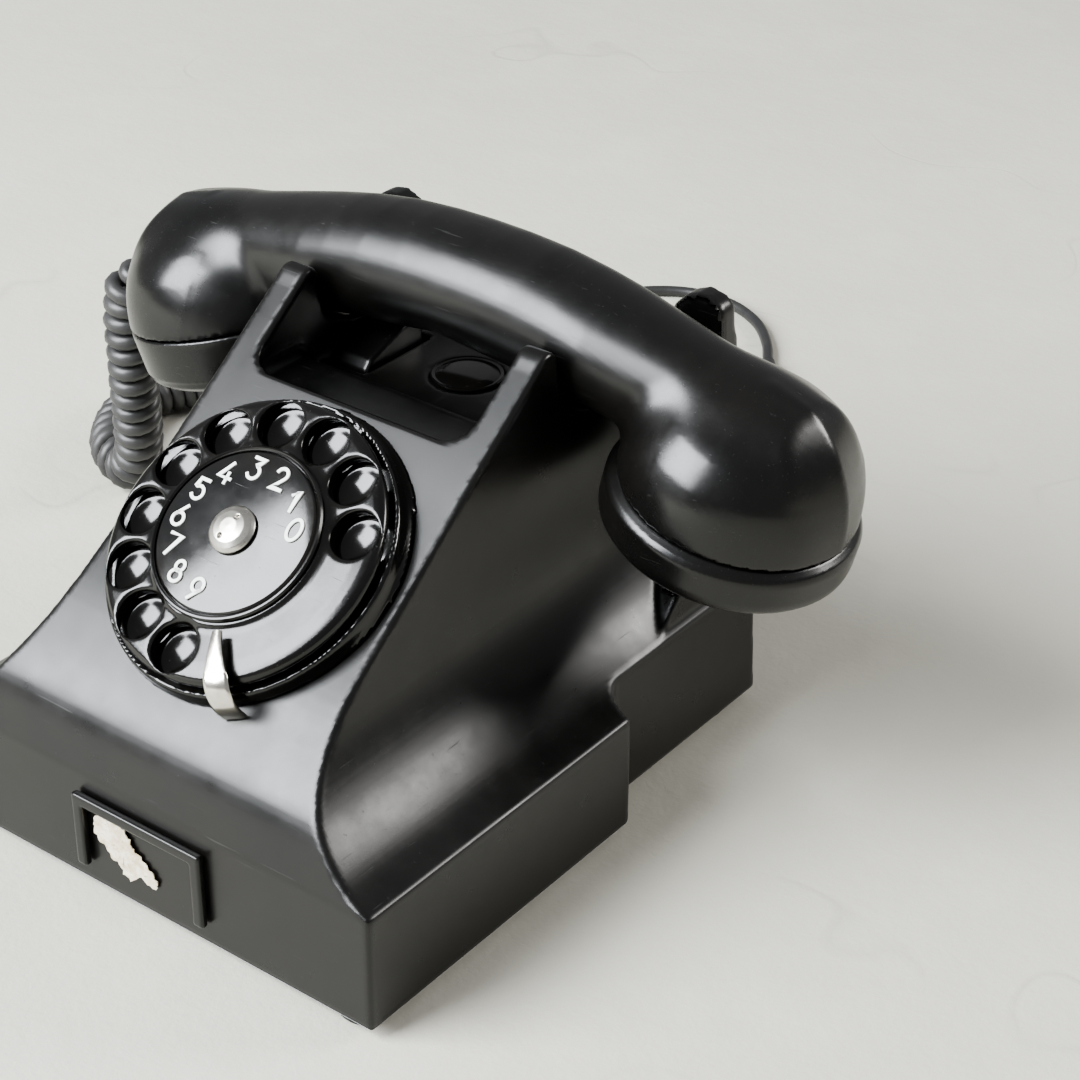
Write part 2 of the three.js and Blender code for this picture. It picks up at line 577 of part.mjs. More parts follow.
// ---- hook switch ----
function buildHook() {
  const fingerTop = [[112.6, 94], [114, 98.2], [122, 102], [128, 104.2], [133, 105.2], [136, 104.2]];
  const finger = [...fingerTop, [137, 95], [131, 91.2], [114, 90.2]];
  const fingers = [-1, 1].map((side) => {
    return acrossX(finger, side * HOOK_X - HOOK_HALF_X, side * HOOK_X + HOOK_HALF_X);
  });
  const shaftAt = (x, length, radius) => {
    const bar = new THREE.CylinderGeometry(radius, radius, length, 12).rotateZ(Math.PI / 2);
    return toSolid(bar, at(x, HOOK_PIVOT_Y, HOOK_PIVOT_Z));
  };
  const tail = box([-2.2, HOOK_PIVOT_Y - 1, 76], [2.2, HOOK_PIVOT_Y + 1, HOOK_PIVOT_Z]);
  place(working, "hook_lever", "bakelite", join(shaftAt(0, 70, 1.6), ...fingers, tail));

  const cheeks = [-1, 1].map((side) => box([side * 18 - 0.8, 108, 86], [side * 18 + 0.8, 119, 94]));
  const bar = box([-18.8, 107, 85], [18.8, 109, 89]);
  place(working, "hook_bracket", "steel", cut(join(bar, ...cheeks), shaftAt(0, 60, 1.95)));

  const turns = 3;
  const winding = [];
  for (let i = 0; i <= turns * 8; i += 1) {
    const angle = (i * Math.PI) / 4;
    const radial = [HOOK_PIVOT_Y + 2.5 * Math.cos(angle), HOOK_PIVOT_Z + 2.5 * Math.sin(angle)];
    winding.push([6 + (i * 6) / (turns * 8), ...radial]);
  }
  place(working, "hook_spring", "steel", cordSolid(winding, 0.4, 5, turns * 7));

  const block = box([-8, 97, 68], [8, 105, 78]);
  const leaves = [0, 1, 2].map((i) => box([-5, 104, 70 + i * 2.6], [5, 111.5 - i, 70.5 + i * 2.6]));
  place(working, "hook_contacts", "brass", join(block, ...leaves));
}

// ---- bell and circuit parts on the base plate ----
function buildRinger() {
  const seat = 2.5;
  place(working, "ringer_frame", "steel", join(
    box([-21, 100, seat], [21, 122, seat + 2.5]),
    box([-2, 120, seat], [2, 122, 30]),
  ));
  [["left", -1], ["right", 1]].forEach(([name, side]) => {
    const winding = [[0, 5.3], [9, 5.3], [9, 6.8], [7.4, 6.8], [7.4, 28.6], [9, 28.6], [9, 30], [0, 30]];
    place(working, `ringer_coil_${name}`, "copper", toSolid(turned(winding, 16), at(side * 11, 110, 0)));
    const bell = [[4, 53.2], [12, 52], [18.5, 48.6], [21.6, 44], [22.2, 40], [21, 40]];
    const within = [[20.2, 43.6], [17.4, 47.2], [11.5, 50.4], [4, 51.6], [4, 53.2]];
    const gong = toSolid(turned([...bell, ...within], 22), at(side * 26.5, 141, 0));
    place(working, `gong_${name}`, "steel", gong);
    const post = [[0, seat], [5, seat], [5, 5], [3.6, 6], [3.6, 54], [6, 54], [5.4, 56.4], [0, 57]];
    place(working, `gong_post_${name}`, "brass", toSolid(turned(post, 12), at(side * 26.5, 141, 0)));
  });
  const armature = box([-19, 106, 31.2], [19, 114, 33.6]);
  const stem = join(box([-1, 112, 32], [1, 114, 44]), box([-1, 112, 42.2], [1, 141, 44]));
  const ball = toSolid(new THREE.SphereGeometry(2.9, 10, 6), at(0, 141, 43));
  place(working, "clapper", "steel", join(armature, stem, ball));

  place(working, "capacitor", "steel", box([-58, 42, seat], [-26, 64, 27]));
  const bobbin = [[0, 42], [11, 42], [11, 44], [7.6, 44], [7.6, 82], [11, 82], [11, 84], [0, 84]];
  const induction = turned(bobbin, 16).rotateX(-Math.PI / 2);
  place(working, "induction_coil", "copper", toSolid(induction, at(44, 0, 14)));
  const studs = [-14, -7, 0, 7, 14].map((x) => rod(x, 19, 11, 14.5, 2.2, 12));
  place(working, "terminal_block", "bakelite", join(box([-20, 13, seat], [20, 25, 12]), ...studs));
}

// ---- handset ----
function buildHandset() {
  place(working, "handset_shell", "bakelite", handsetShell());
  place(working, "receiver_cap", "bakelite", receiverCap());
  place(working, "transmitter_cap", "bakelite", transmitterCap());
  place(working, "receiver_capsule", "steel", toSolid(turned(capsule, 22), capMatrices[1]));
  place(working, "transmitter_capsule", "steel", toSolid(turned(capsule, 22), capMatrices[0]));
}

// ---- cords and what is on them ----
function buildCords() {
  place(working, "handset_cord", "cord", cordSolid(curlyRoute, CURLY_R, 8, 24));
  place(working, "handset_cord_tail", "cord", cordSolid(tailRoute, TAIL_R, 8, 12));
  place(working, "handset_cord_relief", "rubber", exitSleeve(CURLY_EXIT_X, TAIL_R));
  place(working, "handset_cord_boot", "rubber", sleeveBetween(BOOT_FROM, BOOT_TO, BOOT_R, 1.2));
  place(working, "line_cord", "cord", cordSolid(lineRoute, LINE_R, 8, 16));
  const lineSleeve = sleeveBetween([-26.6, 322.3, -0.1], [-43, 344.7, -0.1], 2.9, 0.6);
  place(working, "line_cord_sleeve", "rubber", lineSleeve);
  place(working, "line_cord_far", "cord", cordSolid(lineFarRoute, LINE_R, 8, 26));
  place(working, "line_cord_relief", "rubber", exitSleeve(LINE_EXIT_X, LINE_R));
  const low = FLOOR;
  const inner = COIL_R - 5.7;
  const outer = COIL_R + 5.7;
  const ring = [[inner, low], [outer, low], [outer, low + 14], [inner, low + 14], [inner, low]];
  place(working, "line_cord_coil", "cord", toSolid(turned(ring, 20), at(coilMiddle[0], coilMiddle[1], 0)));
  const body = [[0, 0], [9, 0], [13, 2], [13.5, 14], [11, 20], [5, 25], [4, 32], [0, 32]];
  const plug = toSolid(turned(body, 16).rotateY(-Math.PI / 2));
  const pins = [-1, 1].map((side) => {
    return toSolid(new THREE.CylinderGeometry(2, 2, 17, 12).rotateZ(Math.PI / 2), at(8, side * 6, 0));
  });
  const resting = at(coilMiddle[0] + 57.6, coilMiddle[1] - 14, FLOOR + 13.5);
  place(working, "wall_plug", "bakelite", join(plug, ...pins).transform(resting.elements));
}

buildBase();
buildDial();
buildHook();
buildRinger();
buildHandset();
buildCords();

export default telephone;
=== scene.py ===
"""Rotary desk telephone: camera, studio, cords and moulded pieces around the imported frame.

Shapes are written in millimetres in the part's working frame (Y = 0 at the front foot, Z = 0 at the
housing's lower edge) and turned into metres in the row frame when a mesh is made.
"""
import json
import math

import bmesh
import bpy
import numpy as np
from mathutils import Matrix, Vector


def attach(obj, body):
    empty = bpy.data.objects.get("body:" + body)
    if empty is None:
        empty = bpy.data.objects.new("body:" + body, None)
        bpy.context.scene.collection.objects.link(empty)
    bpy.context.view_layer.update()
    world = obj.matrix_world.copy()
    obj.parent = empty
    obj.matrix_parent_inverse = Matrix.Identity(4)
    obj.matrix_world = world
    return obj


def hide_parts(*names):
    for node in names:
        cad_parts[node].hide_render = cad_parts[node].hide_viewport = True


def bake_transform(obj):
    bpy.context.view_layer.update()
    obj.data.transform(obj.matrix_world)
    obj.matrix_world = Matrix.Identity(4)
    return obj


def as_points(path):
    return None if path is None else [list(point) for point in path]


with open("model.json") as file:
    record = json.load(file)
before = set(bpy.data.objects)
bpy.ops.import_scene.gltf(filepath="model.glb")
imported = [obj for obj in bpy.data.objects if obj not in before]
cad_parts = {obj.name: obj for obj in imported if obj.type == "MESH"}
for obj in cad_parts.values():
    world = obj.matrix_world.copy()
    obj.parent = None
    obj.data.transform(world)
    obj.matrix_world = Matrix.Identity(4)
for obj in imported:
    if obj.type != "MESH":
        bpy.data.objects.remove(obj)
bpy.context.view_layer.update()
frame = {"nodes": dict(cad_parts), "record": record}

ORIGIN_Y = 86.65
FOOT_H = 3.0
HANDSET_Y = 130
CAP_X, CAP_Z, CAP_TILT = 84, 92.2, 15  # middle of a cap's ring and its lean, in degrees
DIAL_Y, DIAL_Z, DIAL_TILT = 40.6, 89.5, 38.1
HOLE_CIRCLE = 31
PLUG_Y = 128  # round plug in the floor of the cradle well
EXIT_Z = 11  # height of both cord exits
CURLY_X, LINE_X = -30, 32
CURLY_WIRE, LINE_WIRE = 2.6, 1.9  # radii of the two cords' wires
scene = bpy.context.scene


# ---- frames and small helpers ----
def metres(points):
    """Working-frame millimetres to row-frame metres."""
    return (np.asarray(points, float) + (0, -ORIGIN_Y, FOOT_H)) / 1000


def link(obj):
    """Adds an object to the scene."""
    scene.collection.objects.link(obj)
    return obj


def turn_x(degrees, place):
    return Matrix.Translation(place) @ Matrix.Rotation(math.radians(degrees), 4, "X")


def turn_y(degrees, place):
    return Matrix.Translation(place) @ Matrix.Rotation(math.radians(degrees), 4, "Y")


def moved(matrix, points):
    m = np.array(matrix)
    return np.asarray(points, float) @ m[:3, :3].T + m[:3, 3]


DIAL = turn_x(DIAL_TILT, (0, DIAL_Y, DIAL_Z))
CAPS = {
    "left": turn_y(-CAP_TILT, (-CAP_X, HANDSET_Y, CAP_Z)),
    "right": turn_y(CAP_TILT, (CAP_X, HANDSET_Y, CAP_Z)),
}


def mesh_piece(name, points, faces, material, body, nodes=(), smooth=True):
    """A mesh from working-frame points, riding on a body and standing for CAD nodes."""
    mesh = bpy.data.meshes.new(name)
    mesh.from_pydata(metres(points).tolist(), [], [tuple(f) for f in faces])
    mesh.update()
    if smooth:
        mesh.shade_smooth()
    mesh.materials.append(material)
    obj = link(bpy.data.objects.new(name, mesh))
    if body:
        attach(obj, body)
    if nodes:
        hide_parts(*nodes)
    return obj


# ---- signed distances, in mm: negative inside ----
def outline(points, a, b):
    """Signed distance from (a, b) to a closed outline."""
    nearest = None
    inside = False
    for (ax, ay), (bx, by) in zip(points, points[1:] + points[:1]):
        ex, ey = bx - ax, by - ay
        length2 = ex * ex + ey * ey
        if length2 < 1e-12:
            continue
        t = np.clip(((a - ax) * ex + (b - ay) * ey) / length2, 0, 1)
        away = (a - ax - t * ex) ** 2 + (b - ay - t * ey) ** 2
        nearest = away if nearest is None else np.minimum(nearest, away)
        if ay != by:
            crosses = ((ay <= b) != (by <= b)) & (a < ax + (b - ay) / (by - ay) * ex)
            inside = np.logical_xor(inside, crosses)
    return np.where(inside, -1.0, 1.0) * np.sqrt(nearest)


def both(a, b, k=1.0):
    """Where a and b meet, with the edge rounded over about k."""
    h = np.maximum(k - np.abs(a - b), 0) / k
    return np.maximum(a, b) + h * h * k / 4


def either(a, b, k=1.0):
    """a joined to b with a fillet of about k."""
    return -both(-a, -b, k)


def less(a, b, k=1.0):
    """a with b cut away."""
    return both(a, -b, k)


def slab(a, low, high):
    return np.maximum(low - a, a - high)


def block(x, y, z, low, high, k=1.0):
    return both(both(slab(x, low[0], high[0]), slab(y, low[1], high[1]), k), slab(z, low[2], high[2]), k)


def smooth_line(points, count):
    """Catmull-Rom through 2D or 3D points, centripetal."""
    p = [np.asarray(q, float) for q in points]
    p = [2 * p[0] - p[1]] + p + [2 * p[-1] - p[-2]]
    out = []
    spans = len(p) - 3
    for i in range(spans):
        t = [0.0]
        for j in range(3):
            t.append(t[-1] + max(np.linalg.norm(p[i + j + 1] - p[i + j]), 1e-6) ** 0.5)
        for u in np.linspace(t[1], t[2], count, endpoint=i == spans - 1):
            a = [((t[j + 1] - u) * p[i + j] + (u - t[j]) * p[i + j + 1]) / (t[j + 1] - t[j])
                for j in range(3)]
            b = [((t[j + 2] - u) * a[j] + (u - t[j]) * a[j + 1]) / (t[j + 2] - t[j]) for j in range(2)]
            out.append(((t[2] - u) * b[0] + (u - t[1]) * b[1]) / (t[2] - t[1]))
    return [tuple(q) for q in out]


def skin(distance, low, high, cell):
    """Surface-net mesh of where distance(x, y, z) is zero, on a grid of the given cell."""
    axes = [np.arange(low[i] - 1.5 * cell, high[i] + 2.5 * cell, cell) for i in range(3)]
    grid = np.meshgrid(*axes, indexing="ij", sparse=True)
    shape = tuple(len(a) for a in axes)
    d = np.broadcast_to(distance(*grid), shape).astype(np.float32)
    start = np.array([a[0] for a in axes])
    strides = np.array([shape[1] * shape[2], shape[2], 1])
    spots, quads = [], []
    for axis in range(3):
        first = [slice(None)] * 3
        second = [slice(None)] * 3
        first[axis] = slice(None, -1)
        second[axis] = slice(1, None)
        a, b = d[tuple(first)], d[tuple(second)]
        crossing = (a < 0) != (b < 0)
        index = np.argwhere(crossing)
        va, vb = a[crossing], b[crossing]
        spot = index.astype(float)
        spot[:, axis] += va / (va - vb)
        u, v = (axis + 1) % 3, (axis + 2) % 3
        corners = []
        for du, dv in ((0, 0), (1, 0), (1, 1), (0, 1)):
            cellindex = index.copy()
            cellindex[:, u] -= du
            cellindex[:, v] -= dv
            corners.append(cellindex @ strides)
        quad = np.stack(corners, 1)
        outside = va > 0
        quad[outside] = quad[outside][:, ::-1]
        quads.append(quad)
        spots.append(spot)
    quads = np.concatenate(quads)
    spots = np.repeat(np.concatenate(spots), 4, axis=0)
    inverse = np.unique(quads.ravel(), return_inverse=True)[1]
    count = np.bincount(inverse)
    middle = np.stack([np.bincount(inverse, weights=spots[:, i]) / count for i in range(3)], 1)
    return middle * cell + start, inverse.reshape(-1, 4)


def skinned(name, distance, low, high, cell, material, body, nodes=(), matrix=None):
    points, faces = skin(distance, low, high, cell)
    if matrix is not None:
        points = moved(matrix, points)
    return mesh_piece(name, points, faces, material, body, nodes)


# ---- camera ----
def make_camera():
    """The camera as solved from the picture: a world-to-camera turn and a place."""
    data = bpy.data.cameras.new("camera")
    data.sensor_width = 36
    data.lens = 87.35
    data.clip_start = 0.05
    camera = link(bpy.data.objects.new("camera", data))
    turn = Vector((2.0237707, 0.6926286, -0.3843113))
    to_camera = Matrix.Rotation(turn.length, 3, turn.normalized())
    rotation = to_camera.transposed() @ Matrix.Diagonal((1, -1, -1))
    place = metres([(386.23, -344.28, 415.96)])[0]
    camera.matrix_world = Matrix.Translation(place) @ rotation.to_4x4()
    scene.camera = camera


make_camera()


# ---- materials ----
class Nodes:
    """Short-hand for building a node material."""

    def __init__(self, name):
        self.material = bpy.data.materials.new(name)
        self.material.use_nodes = True
        self.tree = self.material.node_tree
        self.shader = self.tree.nodes["Principled BSDF"]
        self.coords = self.tree.nodes.new("ShaderNodeTexCoord")

    def add(self, kind, inputs=None, **settings):
        node = self.tree.nodes.new(kind)
        for key, value in settings.items():
            setattr(node, key, value)
        for key, value in (inputs or {}).items():
            self.feed(node, key, value)
        return node

    def feed(self, node, key, value):
        socket = node.inputs[key]
        if isinstance(value, bpy.types.NodeSocket):
            self.tree.links.new(value, socket)
        else:
            socket.default_value = value

    def noise(self, scale, detail=3, rough=0.5, stretch=None, turn=(0, 0, 0), offset=(0, 0, 0)):
        vector = self.coords.outputs["Object"]
        if stretch or any(offset):
            inputs = {"Vector": vector, "Scale": stretch or (1, 1, 1), "Rotation": turn,
                      "Location": offset}
            vector = self.add("ShaderNodeMapping", inputs).outputs["Vector"]
        inputs = {"Vector": vector, "Scale": scale, "Detail": detail, "Roughness": rough}
        return self.add("ShaderNodeTexNoise", inputs).outputs["Fac"]

    def ramp(self, value, low, high, a=0.0, b=1.0):
        inputs = {"Value": value, "From Min": low, "From Max": high, "To Min": a, "To Max": b}
        return self.add("ShaderNodeMapRange", inputs).outputs["Result"]

    def math(self, kind, a, b):
        return self.add("ShaderNodeMath", {0: a, 1: b}, operation=kind).outputs[0]

    def mix(self, factor, a, b):
        node = self.add("ShaderNodeMix", data_type="RGBA")
        self.feed(node, 0, factor)
        self.feed(node, 6, a)
        self.feed(node, 7, b)
        return node.outputs[2]

    def bump(self, height, strength, distance, normal=None):
        inputs = {"Height": height, "Strength": strength, "Distance": distance}
        if normal is not None:
            inputs["Normal"] = normal
        return self.add("ShaderNodeBump", inputs).outputs["Normal"]

    def set(self, **inputs):
        for key, value in inputs.items():
            self.feed(self.shader, key.replace("_", " "), value)
        return self.material


def grey(value, warm=0.0):
    return (value * (1 + warm), value, value * (1 - warm), 1)


def bakelite(name, gloss=0.3, dust=1.0, offset=0.0, tone=0.0022, middle=None):
    """Moulded black phenolic: faint brown mottling, fine scratches, worn patches and specks of dust."""
    n = Nodes(name)
    shift = (offset, offset * 0.7, offset * 1.3)
    cloud = n.noise(26, 5, 0.6, offset=shift)
    fine = n.noise(900, 2, 0.6)
    patch = n.noise(90, 4, 0.65, offset=shift)
    scratch_a = n.noise(60, 2, 0.5, stretch=(1, 26, 26), turn=(0.3, 0.5, 0.9), offset=shift)
    scratch_b = n.noise(75, 2, 0.5, stretch=(28, 1, 28), turn=(0.7, 0.2, -0.5), offset=shift)
    scratches = n.math("MAXIMUM", n.ramp(scratch_a, 0.70, 0.76), n.ramp(scratch_b, 0.71, 0.77))
    inputs = {"Vector": n.coords.outputs["Object"], "Scale": 520.0, "Randomness": 1.0}
    cells = n.add("ShaderNodeTexVoronoi", inputs).outputs["Distance"]
    specks = n.math("MULTIPLY", n.ramp(cells, 0.10, 0.04), n.ramp(patch, 0.56, 0.66))
    up = n.add("ShaderNodeSeparateXYZ", {0: n.add("ShaderNodeNewGeometry").outputs["Normal"]}).outputs["Z"]
    film = n.math("MULTIPLY", n.ramp(up, 0.1, 0.9), n.ramp(cloud, 0.35, 0.75))
    base = n.mix(n.ramp(cloud, 0.35, 0.7), grey(tone), grey(tone * 1.9, 0.16))
    base = n.mix(n.math("MULTIPLY", film, 0.018 * dust), base, grey(0.22, 0.04))
    base = n.mix(n.math("MULTIPLY", specks, 0.22 * dust), base, grey(0.38, 0.03))
    base = n.mix(n.math("MULTIPLY", scratches, 0.05), base, grey(0.3, 0.02))
    rough = n.ramp(patch, 0.3, 0.75, gloss - 0.035, gloss + 0.06)
    rough = n.math("ADD", rough, n.math("MULTIPLY", scratches, 0.12))
    rough = n.math("ADD", rough, n.math("MULTIPLY", film, 0.05 * dust))
    if middle:
        across = n.add("ShaderNodeSeparateXYZ", {0: n.coords.outputs["Object"]}).outputs["X"]
        worn = n.ramp(n.math("ABSOLUTE", across, 0), 0.085, 0.055)
        rough = n.math("ADD", rough, n.math("MULTIPLY", worn, middle - gloss))
    normal = n.bump(fine, 0.05, 0.00005)
    normal = n.bump(scratches, 0.10, 0.00003, normal)
    return n.set(Base_Color=base, Roughness=rough, Normal=normal, IOR=1.5)


def cord_rubber(name, tone=0.03, gloss=0.42, warm=0.0):
    """Dull dark rubber with a fine grain."""
    n = Nodes(name)
    cloud = n.noise(60, 4, 0.6)
    grain = n.noise(1500, 2, 0.6)
    base = n.mix(n.ramp(cloud, 0.35, 0.7), grey(tone, warm), grey(tone * 1.6, warm + 0.03))
    rough = n.ramp(cloud, 0.3, 0.7, gloss - 0.05, gloss + 0.1)
    return n.set(Base_Color=base, Roughness=rough, Normal=n.bump(grain, 0.12, 0.00006))


def metal(name, colour, gloss, brushed=(1, 30, 1), wear=0.1):
    """Plated or bare metal with dulled patches and fine lines."""
    n = Nodes(name)
    lines = n.noise(160, 3, 0.6, stretch=brushed)
    cloud = n.noise(70, 5, 0.65)
    dull = tuple(c * 0.62 for c in colour[:3]) + (1,)
    base = n.mix(n.ramp(cloud, 0.42, 0.72), colour, dull)
    rough = n.math("ADD", n.ramp(lines, 0.3, 0.7, gloss, gloss + 0.08),
                   n.ramp(cloud, 0.45, 0.75, 0, wear))
    return n.set(Base_Color=base, Roughness=rough, Metallic=1.0, Normal=n.bump(lines, 0.05, 0.00004))


def plain_paint(name, colour, rough, grain=700, depth=0.1):
    """Flat paint with a slight grain."""
    n = Nodes(name)
    cloud = n.noise(80, 4, 0.6)
    lighter = tuple(min(1, c * 1.15) for c in colour[:3]) + (1,)
    base = n.mix(n.ramp(cloud, 0.35, 0.7), colour, lighter)
    return n.set(Base_Color=base, Roughness=n.ramp(cloud, 0.3, 0.7, rough - 0.04, rough + 0.06),
                 Normal=n.bump(n.noise(grain, 3, 0.6), depth, 0.0001))


BAKELITE = bakelite("housing_bakelite", 0.3, 0.6)
HANDSET_BAKELITE = bakelite("handset_bakelite", 0.235, 0.6, 3.1, middle=0.32)
DIAL_BAKELITE = bakelite("dial_bakelite", 0.2, 0.5, 5.3)
CASE_BAKELITE = bakelite("case_bakelite", 0.13, 0.2, 7.7)
CURLY = cord_rubber("curly_rubber", 0.028, 0.4)
LINE = cord_rubber("line_rubber", 0.02, 0.38)
BOOT = cord_rubber("boot_rubber", 0.018, 0.55)
FOOT = cord_rubber("foot_rubber", 0.02, 0.75)


# ---- cords ----
CURLY_ROUTE = [
    (-128.4, 134.4, 87.15), (-133.2, 135.5, 81.5), (-136.8, 136.9, 71), (-138.8, 138.5, 59.5),
    (-141, 140.5, 48), (-144, 143.2, 36), (-147, 146, 23.5), (-150.8, 148.4, 12.6), (-158, 150.6, 5),
    (-167, 154, 5), (-176, 162, 5), (-183, 173.5, 5), (-186, 187, 5), (-181, 201, 5), (-169, 210.5, 5),
    (-150, 214.5, 5), (-125, 215.3, 5), (-98, 215, 5),
]
TAIL_ROUTE = [
    (-85, 215, 1.2), (-78, 215.4, -0.4), (-66, 217, -0.4), (-52, 219.5, -0.4), (-40, 218.5, 0.6),
    (-33, 211, 4.6), (-30.4, 202, 10), (-30, 196.3, 11),
]
LINE_ROUTE = [
    (32, 196.3, 11), (32, 204, 10.4), (31, 215, 6), (28.5, 227, 1.2), (24, 240, -1.1), (14, 258, -1.1),
    (1, 281, -1.1), (-13, 303, -1.1), (-26.6, 322.3, -1.1),
]
FAR_ROUTE = [
    (-43.2, 345, -1.1), (-52, 357.5, -1.1), (-64, 369, -1.1), (-79, 375.5, -1.1), (-96, 374.5, -1.1),
    (-111, 364, -1.1), (-120, 347, -1.1), (-121.5, 328, -1.1), (-117, 310, -1.1), (-108, 293, -1.1),
    (-100.5, 280, -1.1), (-94.5, 269, -1.1), (-89.6, 262, -1.1),
]
COIL = (-62.0, 254.0)
COIL_RADII = (24.8, 21.0, 17.2)
LAYER = 3.8


def frames_along(path):
    """Unit tangents and a steadily carried side direction along a path."""
    path = np.asarray(path, float)
    ahead = np.gradient(path, axis=0)
    ahead /= np.linalg.norm(ahead, axis=1)[:, None]
    side = np.cross(ahead[0], (0, 0, 1))
    if np.linalg.norm(side) < 0.1:
        side = np.cross(ahead[0], (0, 1, 0))
    sides = []
    for t in ahead:
        side = side - t * np.dot(side, t)
        side = side / np.linalg.norm(side)
        sides.append(side)
    return path, ahead, np.array(sides)


def evenly(path, step):
    """The path again with points a steady step apart."""
    path = np.asarray(path, float)
    along = np.concatenate([[0], np.cumsum(np.linalg.norm(np.diff(path, axis=0), axis=1))])
    where = np.linspace(0, along[-1], max(2, int(round(along[-1] / step)) + 1))
    return np.stack([np.interp(where, along, path[:, i]) for i in range(3)], 1)


def tube(path, radius, sides=10):
    """Points and faces of a closed tube; radius is a number or one value for each point."""
    path, ahead, side = frames_along(path)
    up = np.cross(ahead, side)
    radius = np.broadcast_to(np.asarray(radius, float), (len(path),))[:, None]
    points = []
    for k in range(sides):
        angle = 2 * math.pi * k / sides
        points.append(path + radius * (math.cos(angle) * side + math.sin(angle) * up))
    points = np.stack(points, 1).reshape(-1, 3)
    faces = []
    for i in range(len(path) - 1):
        for k in range(sides):
            m = (k + 1) % sides
            faces.append((i * sides + k, i * sides + m, (i + 1) * sides + m, (i + 1) * sides + k))
    last = (len(path) - 1) * sides
    faces.append(tuple(range(sides - 1, -1, -1)))
    faces.append(tuple(range(last, last + sides)))
    return points, faces


def curly_path():
    """The helix of the handset cord along its route, then its plain tail to the housing."""
    step = 0.4
    winding = 5.3
    run_out = 7  # length over which the winding closes to a plain wire at each end
    route = evenly(smooth_line(CURLY_ROUTE, 12), step)
    path, ahead, side = frames_along(route)
    up = np.cross(ahead, side)
    length = step * (len(path) - 1)
    points = []
    angle = 0.0
    for i in range(len(path)):
        along = step * i
        hanging = np.clip((path[i][2] - 5) / 60, 0, 1)
        pitch = 5.55 + 0.6 * hanging
        angle += 2 * math.pi * step / pitch
        ends = min(max(min(along, length - along), 0) / run_out, 1)
        radius = winding * ends * ends * (3 - 2 * ends)
        wobble = 1 + 0.012 * math.sin(0.31 * along)
        offset = math.cos(angle) * side[i] + math.sin(angle) * up[i]
        points.append(path[i] + radius * wobble * offset)
    start = [(-124.5, 133.5, 90.5)]
    tail = smooth_line([tuple(CURLY_ROUTE[-1]), (-92.5, 215, 3.4)] + TAIL_ROUTE, 8)
    return np.array(start + [tuple(p) for p in points] + tail[3:] + [(CURLY_X, 188, EXIT_Z)])


def coil_path():
    """Turns of line cord wound layer on layer, ending over the top towards the plug."""
    low = -1.1
    points = []
    turns = 10.236
    steps = int(turns * 30)
    for i in range(steps + 1):
        turn = turns * i / steps
        angle = math.radians(185) + 2 * math.pi * turn
        whole, part = divmod(turn, 1)
        blend = max(0.0, (part - 0.72) / 0.28)
        blend = blend * blend * (3 - 2 * blend)
        column = []
        height = []
        for k in (int(whole), int(whole) + 1):
            row, place = divmod(k, 3)
            column.append(COIL_RADII[place if row % 2 == 0 else 2 - place])
            height.append(low + LAYER * row)
        radius = column[0] + (column[1] - column[0]) * blend
        z = height[0] + (height[1] - height[0]) * blend
        points.append((COIL[0] + radius * math.cos(angle), COIL[1] + radius * math.sin(angle), z))
    return points


def line_path():
    """The line cord from inside the housing, through its sleeve and coil, to the plug."""
    front = smooth_line(LINE_ROUTE, 8)
    through = [(-31, 328.4, -0.6), (-38.6, 338.8, -0.6)]
    far = smooth_line(FAR_ROUTE + [(-87.3, 257.4, -1.1)], 8)
    coil = coil_path()
    last = coil[-1]
    to_plug = [last, (-54, last[1] + 0.4, 10.4), (-45, 238.6, 10.6), (-36, 240, 10.5), (-30, 240, 10.5)]
    plug = smooth_line(to_plug, 8)
    path = [(LINE_X, 186, EXIT_Z)] + front + through + far[:-2] + coil + plug[2:]
    return evenly(smooth_line(path, 2), 1.5)


def exit_sleeve(name, x, wire, node, ribs):
    """A tapered, ribbed strain relief out of the back wall."""
    profile = [(wire + 0.1, 170.5), (4.6, 170.5), (4.6, 175.3), (6.1, 175.5), (6.4, 176), (6.3, 177.2),
        (5.0, 178.2)]
    step = 15.5 / ribs
    for k in range(ribs):
        y = 179 + 15.5 * k / ribs
        wide = 4.9 - (4.9 - wire - 1.3) * k / ribs
        profile += [(wide, y), (wide - 0.05, y + step * 0.55), (wide - 0.55, y + step * 0.7),
            (wide - 0.55, y + step * 0.9)]
    profile += [(wire + 1.0, 195.2), (wire + 0.7, 196), (wire + 0.1, 196)]

    def place(r, a, h):
        return (x + r * math.cos(a), h, EXIT_Z + r * math.sin(a))

    return turned_piece(name, profile, place, BOOT, "base", (node,), 28, closed=True)


def turned_piece(name, profile, place, material, body, nodes, sides=40, closed=False):
    """Turns (radius, height) pairs; place(radius, angle, height) gives the working-frame point."""
    points, faces = [], []
    count = len(profile)
    for k in range(sides):
        angle = 2 * math.pi * k / sides
        points += [place(r, angle, h) for r, h in profile]
    rows = count if closed else count - 1
    for k in range(sides):
        m = (k + 1) % sides
        for i in range(rows):
            j = (i + 1) % count
            faces.append((k * count + i, m * count + i, m * count + j, k * count + j))
    obj = mesh_piece(name, points, faces, material, body, nodes)
    tidy_normals(obj)
    return obj


def tidy_normals(obj, angle=35):
    """Merges doubled points, makes faces point outward and keeps sharp edges crisp."""
    bm = bmesh.new()
    bm.from_mesh(obj.data)
    bmesh.ops.remove_doubles(bm, verts=bm.verts, dist=1e-6)
    bmesh.ops.recalc_face_normals(bm, faces=bm.faces)
    bm.to_mesh(obj.data)
    bm.free()
    obj.data.set_sharp_from_angle(angle=math.radians(angle))


BOOT_FROM, BOOT_TO = np.array((-110, 130.5, 103.0)), np.array((-128, 134.3, 87.5))


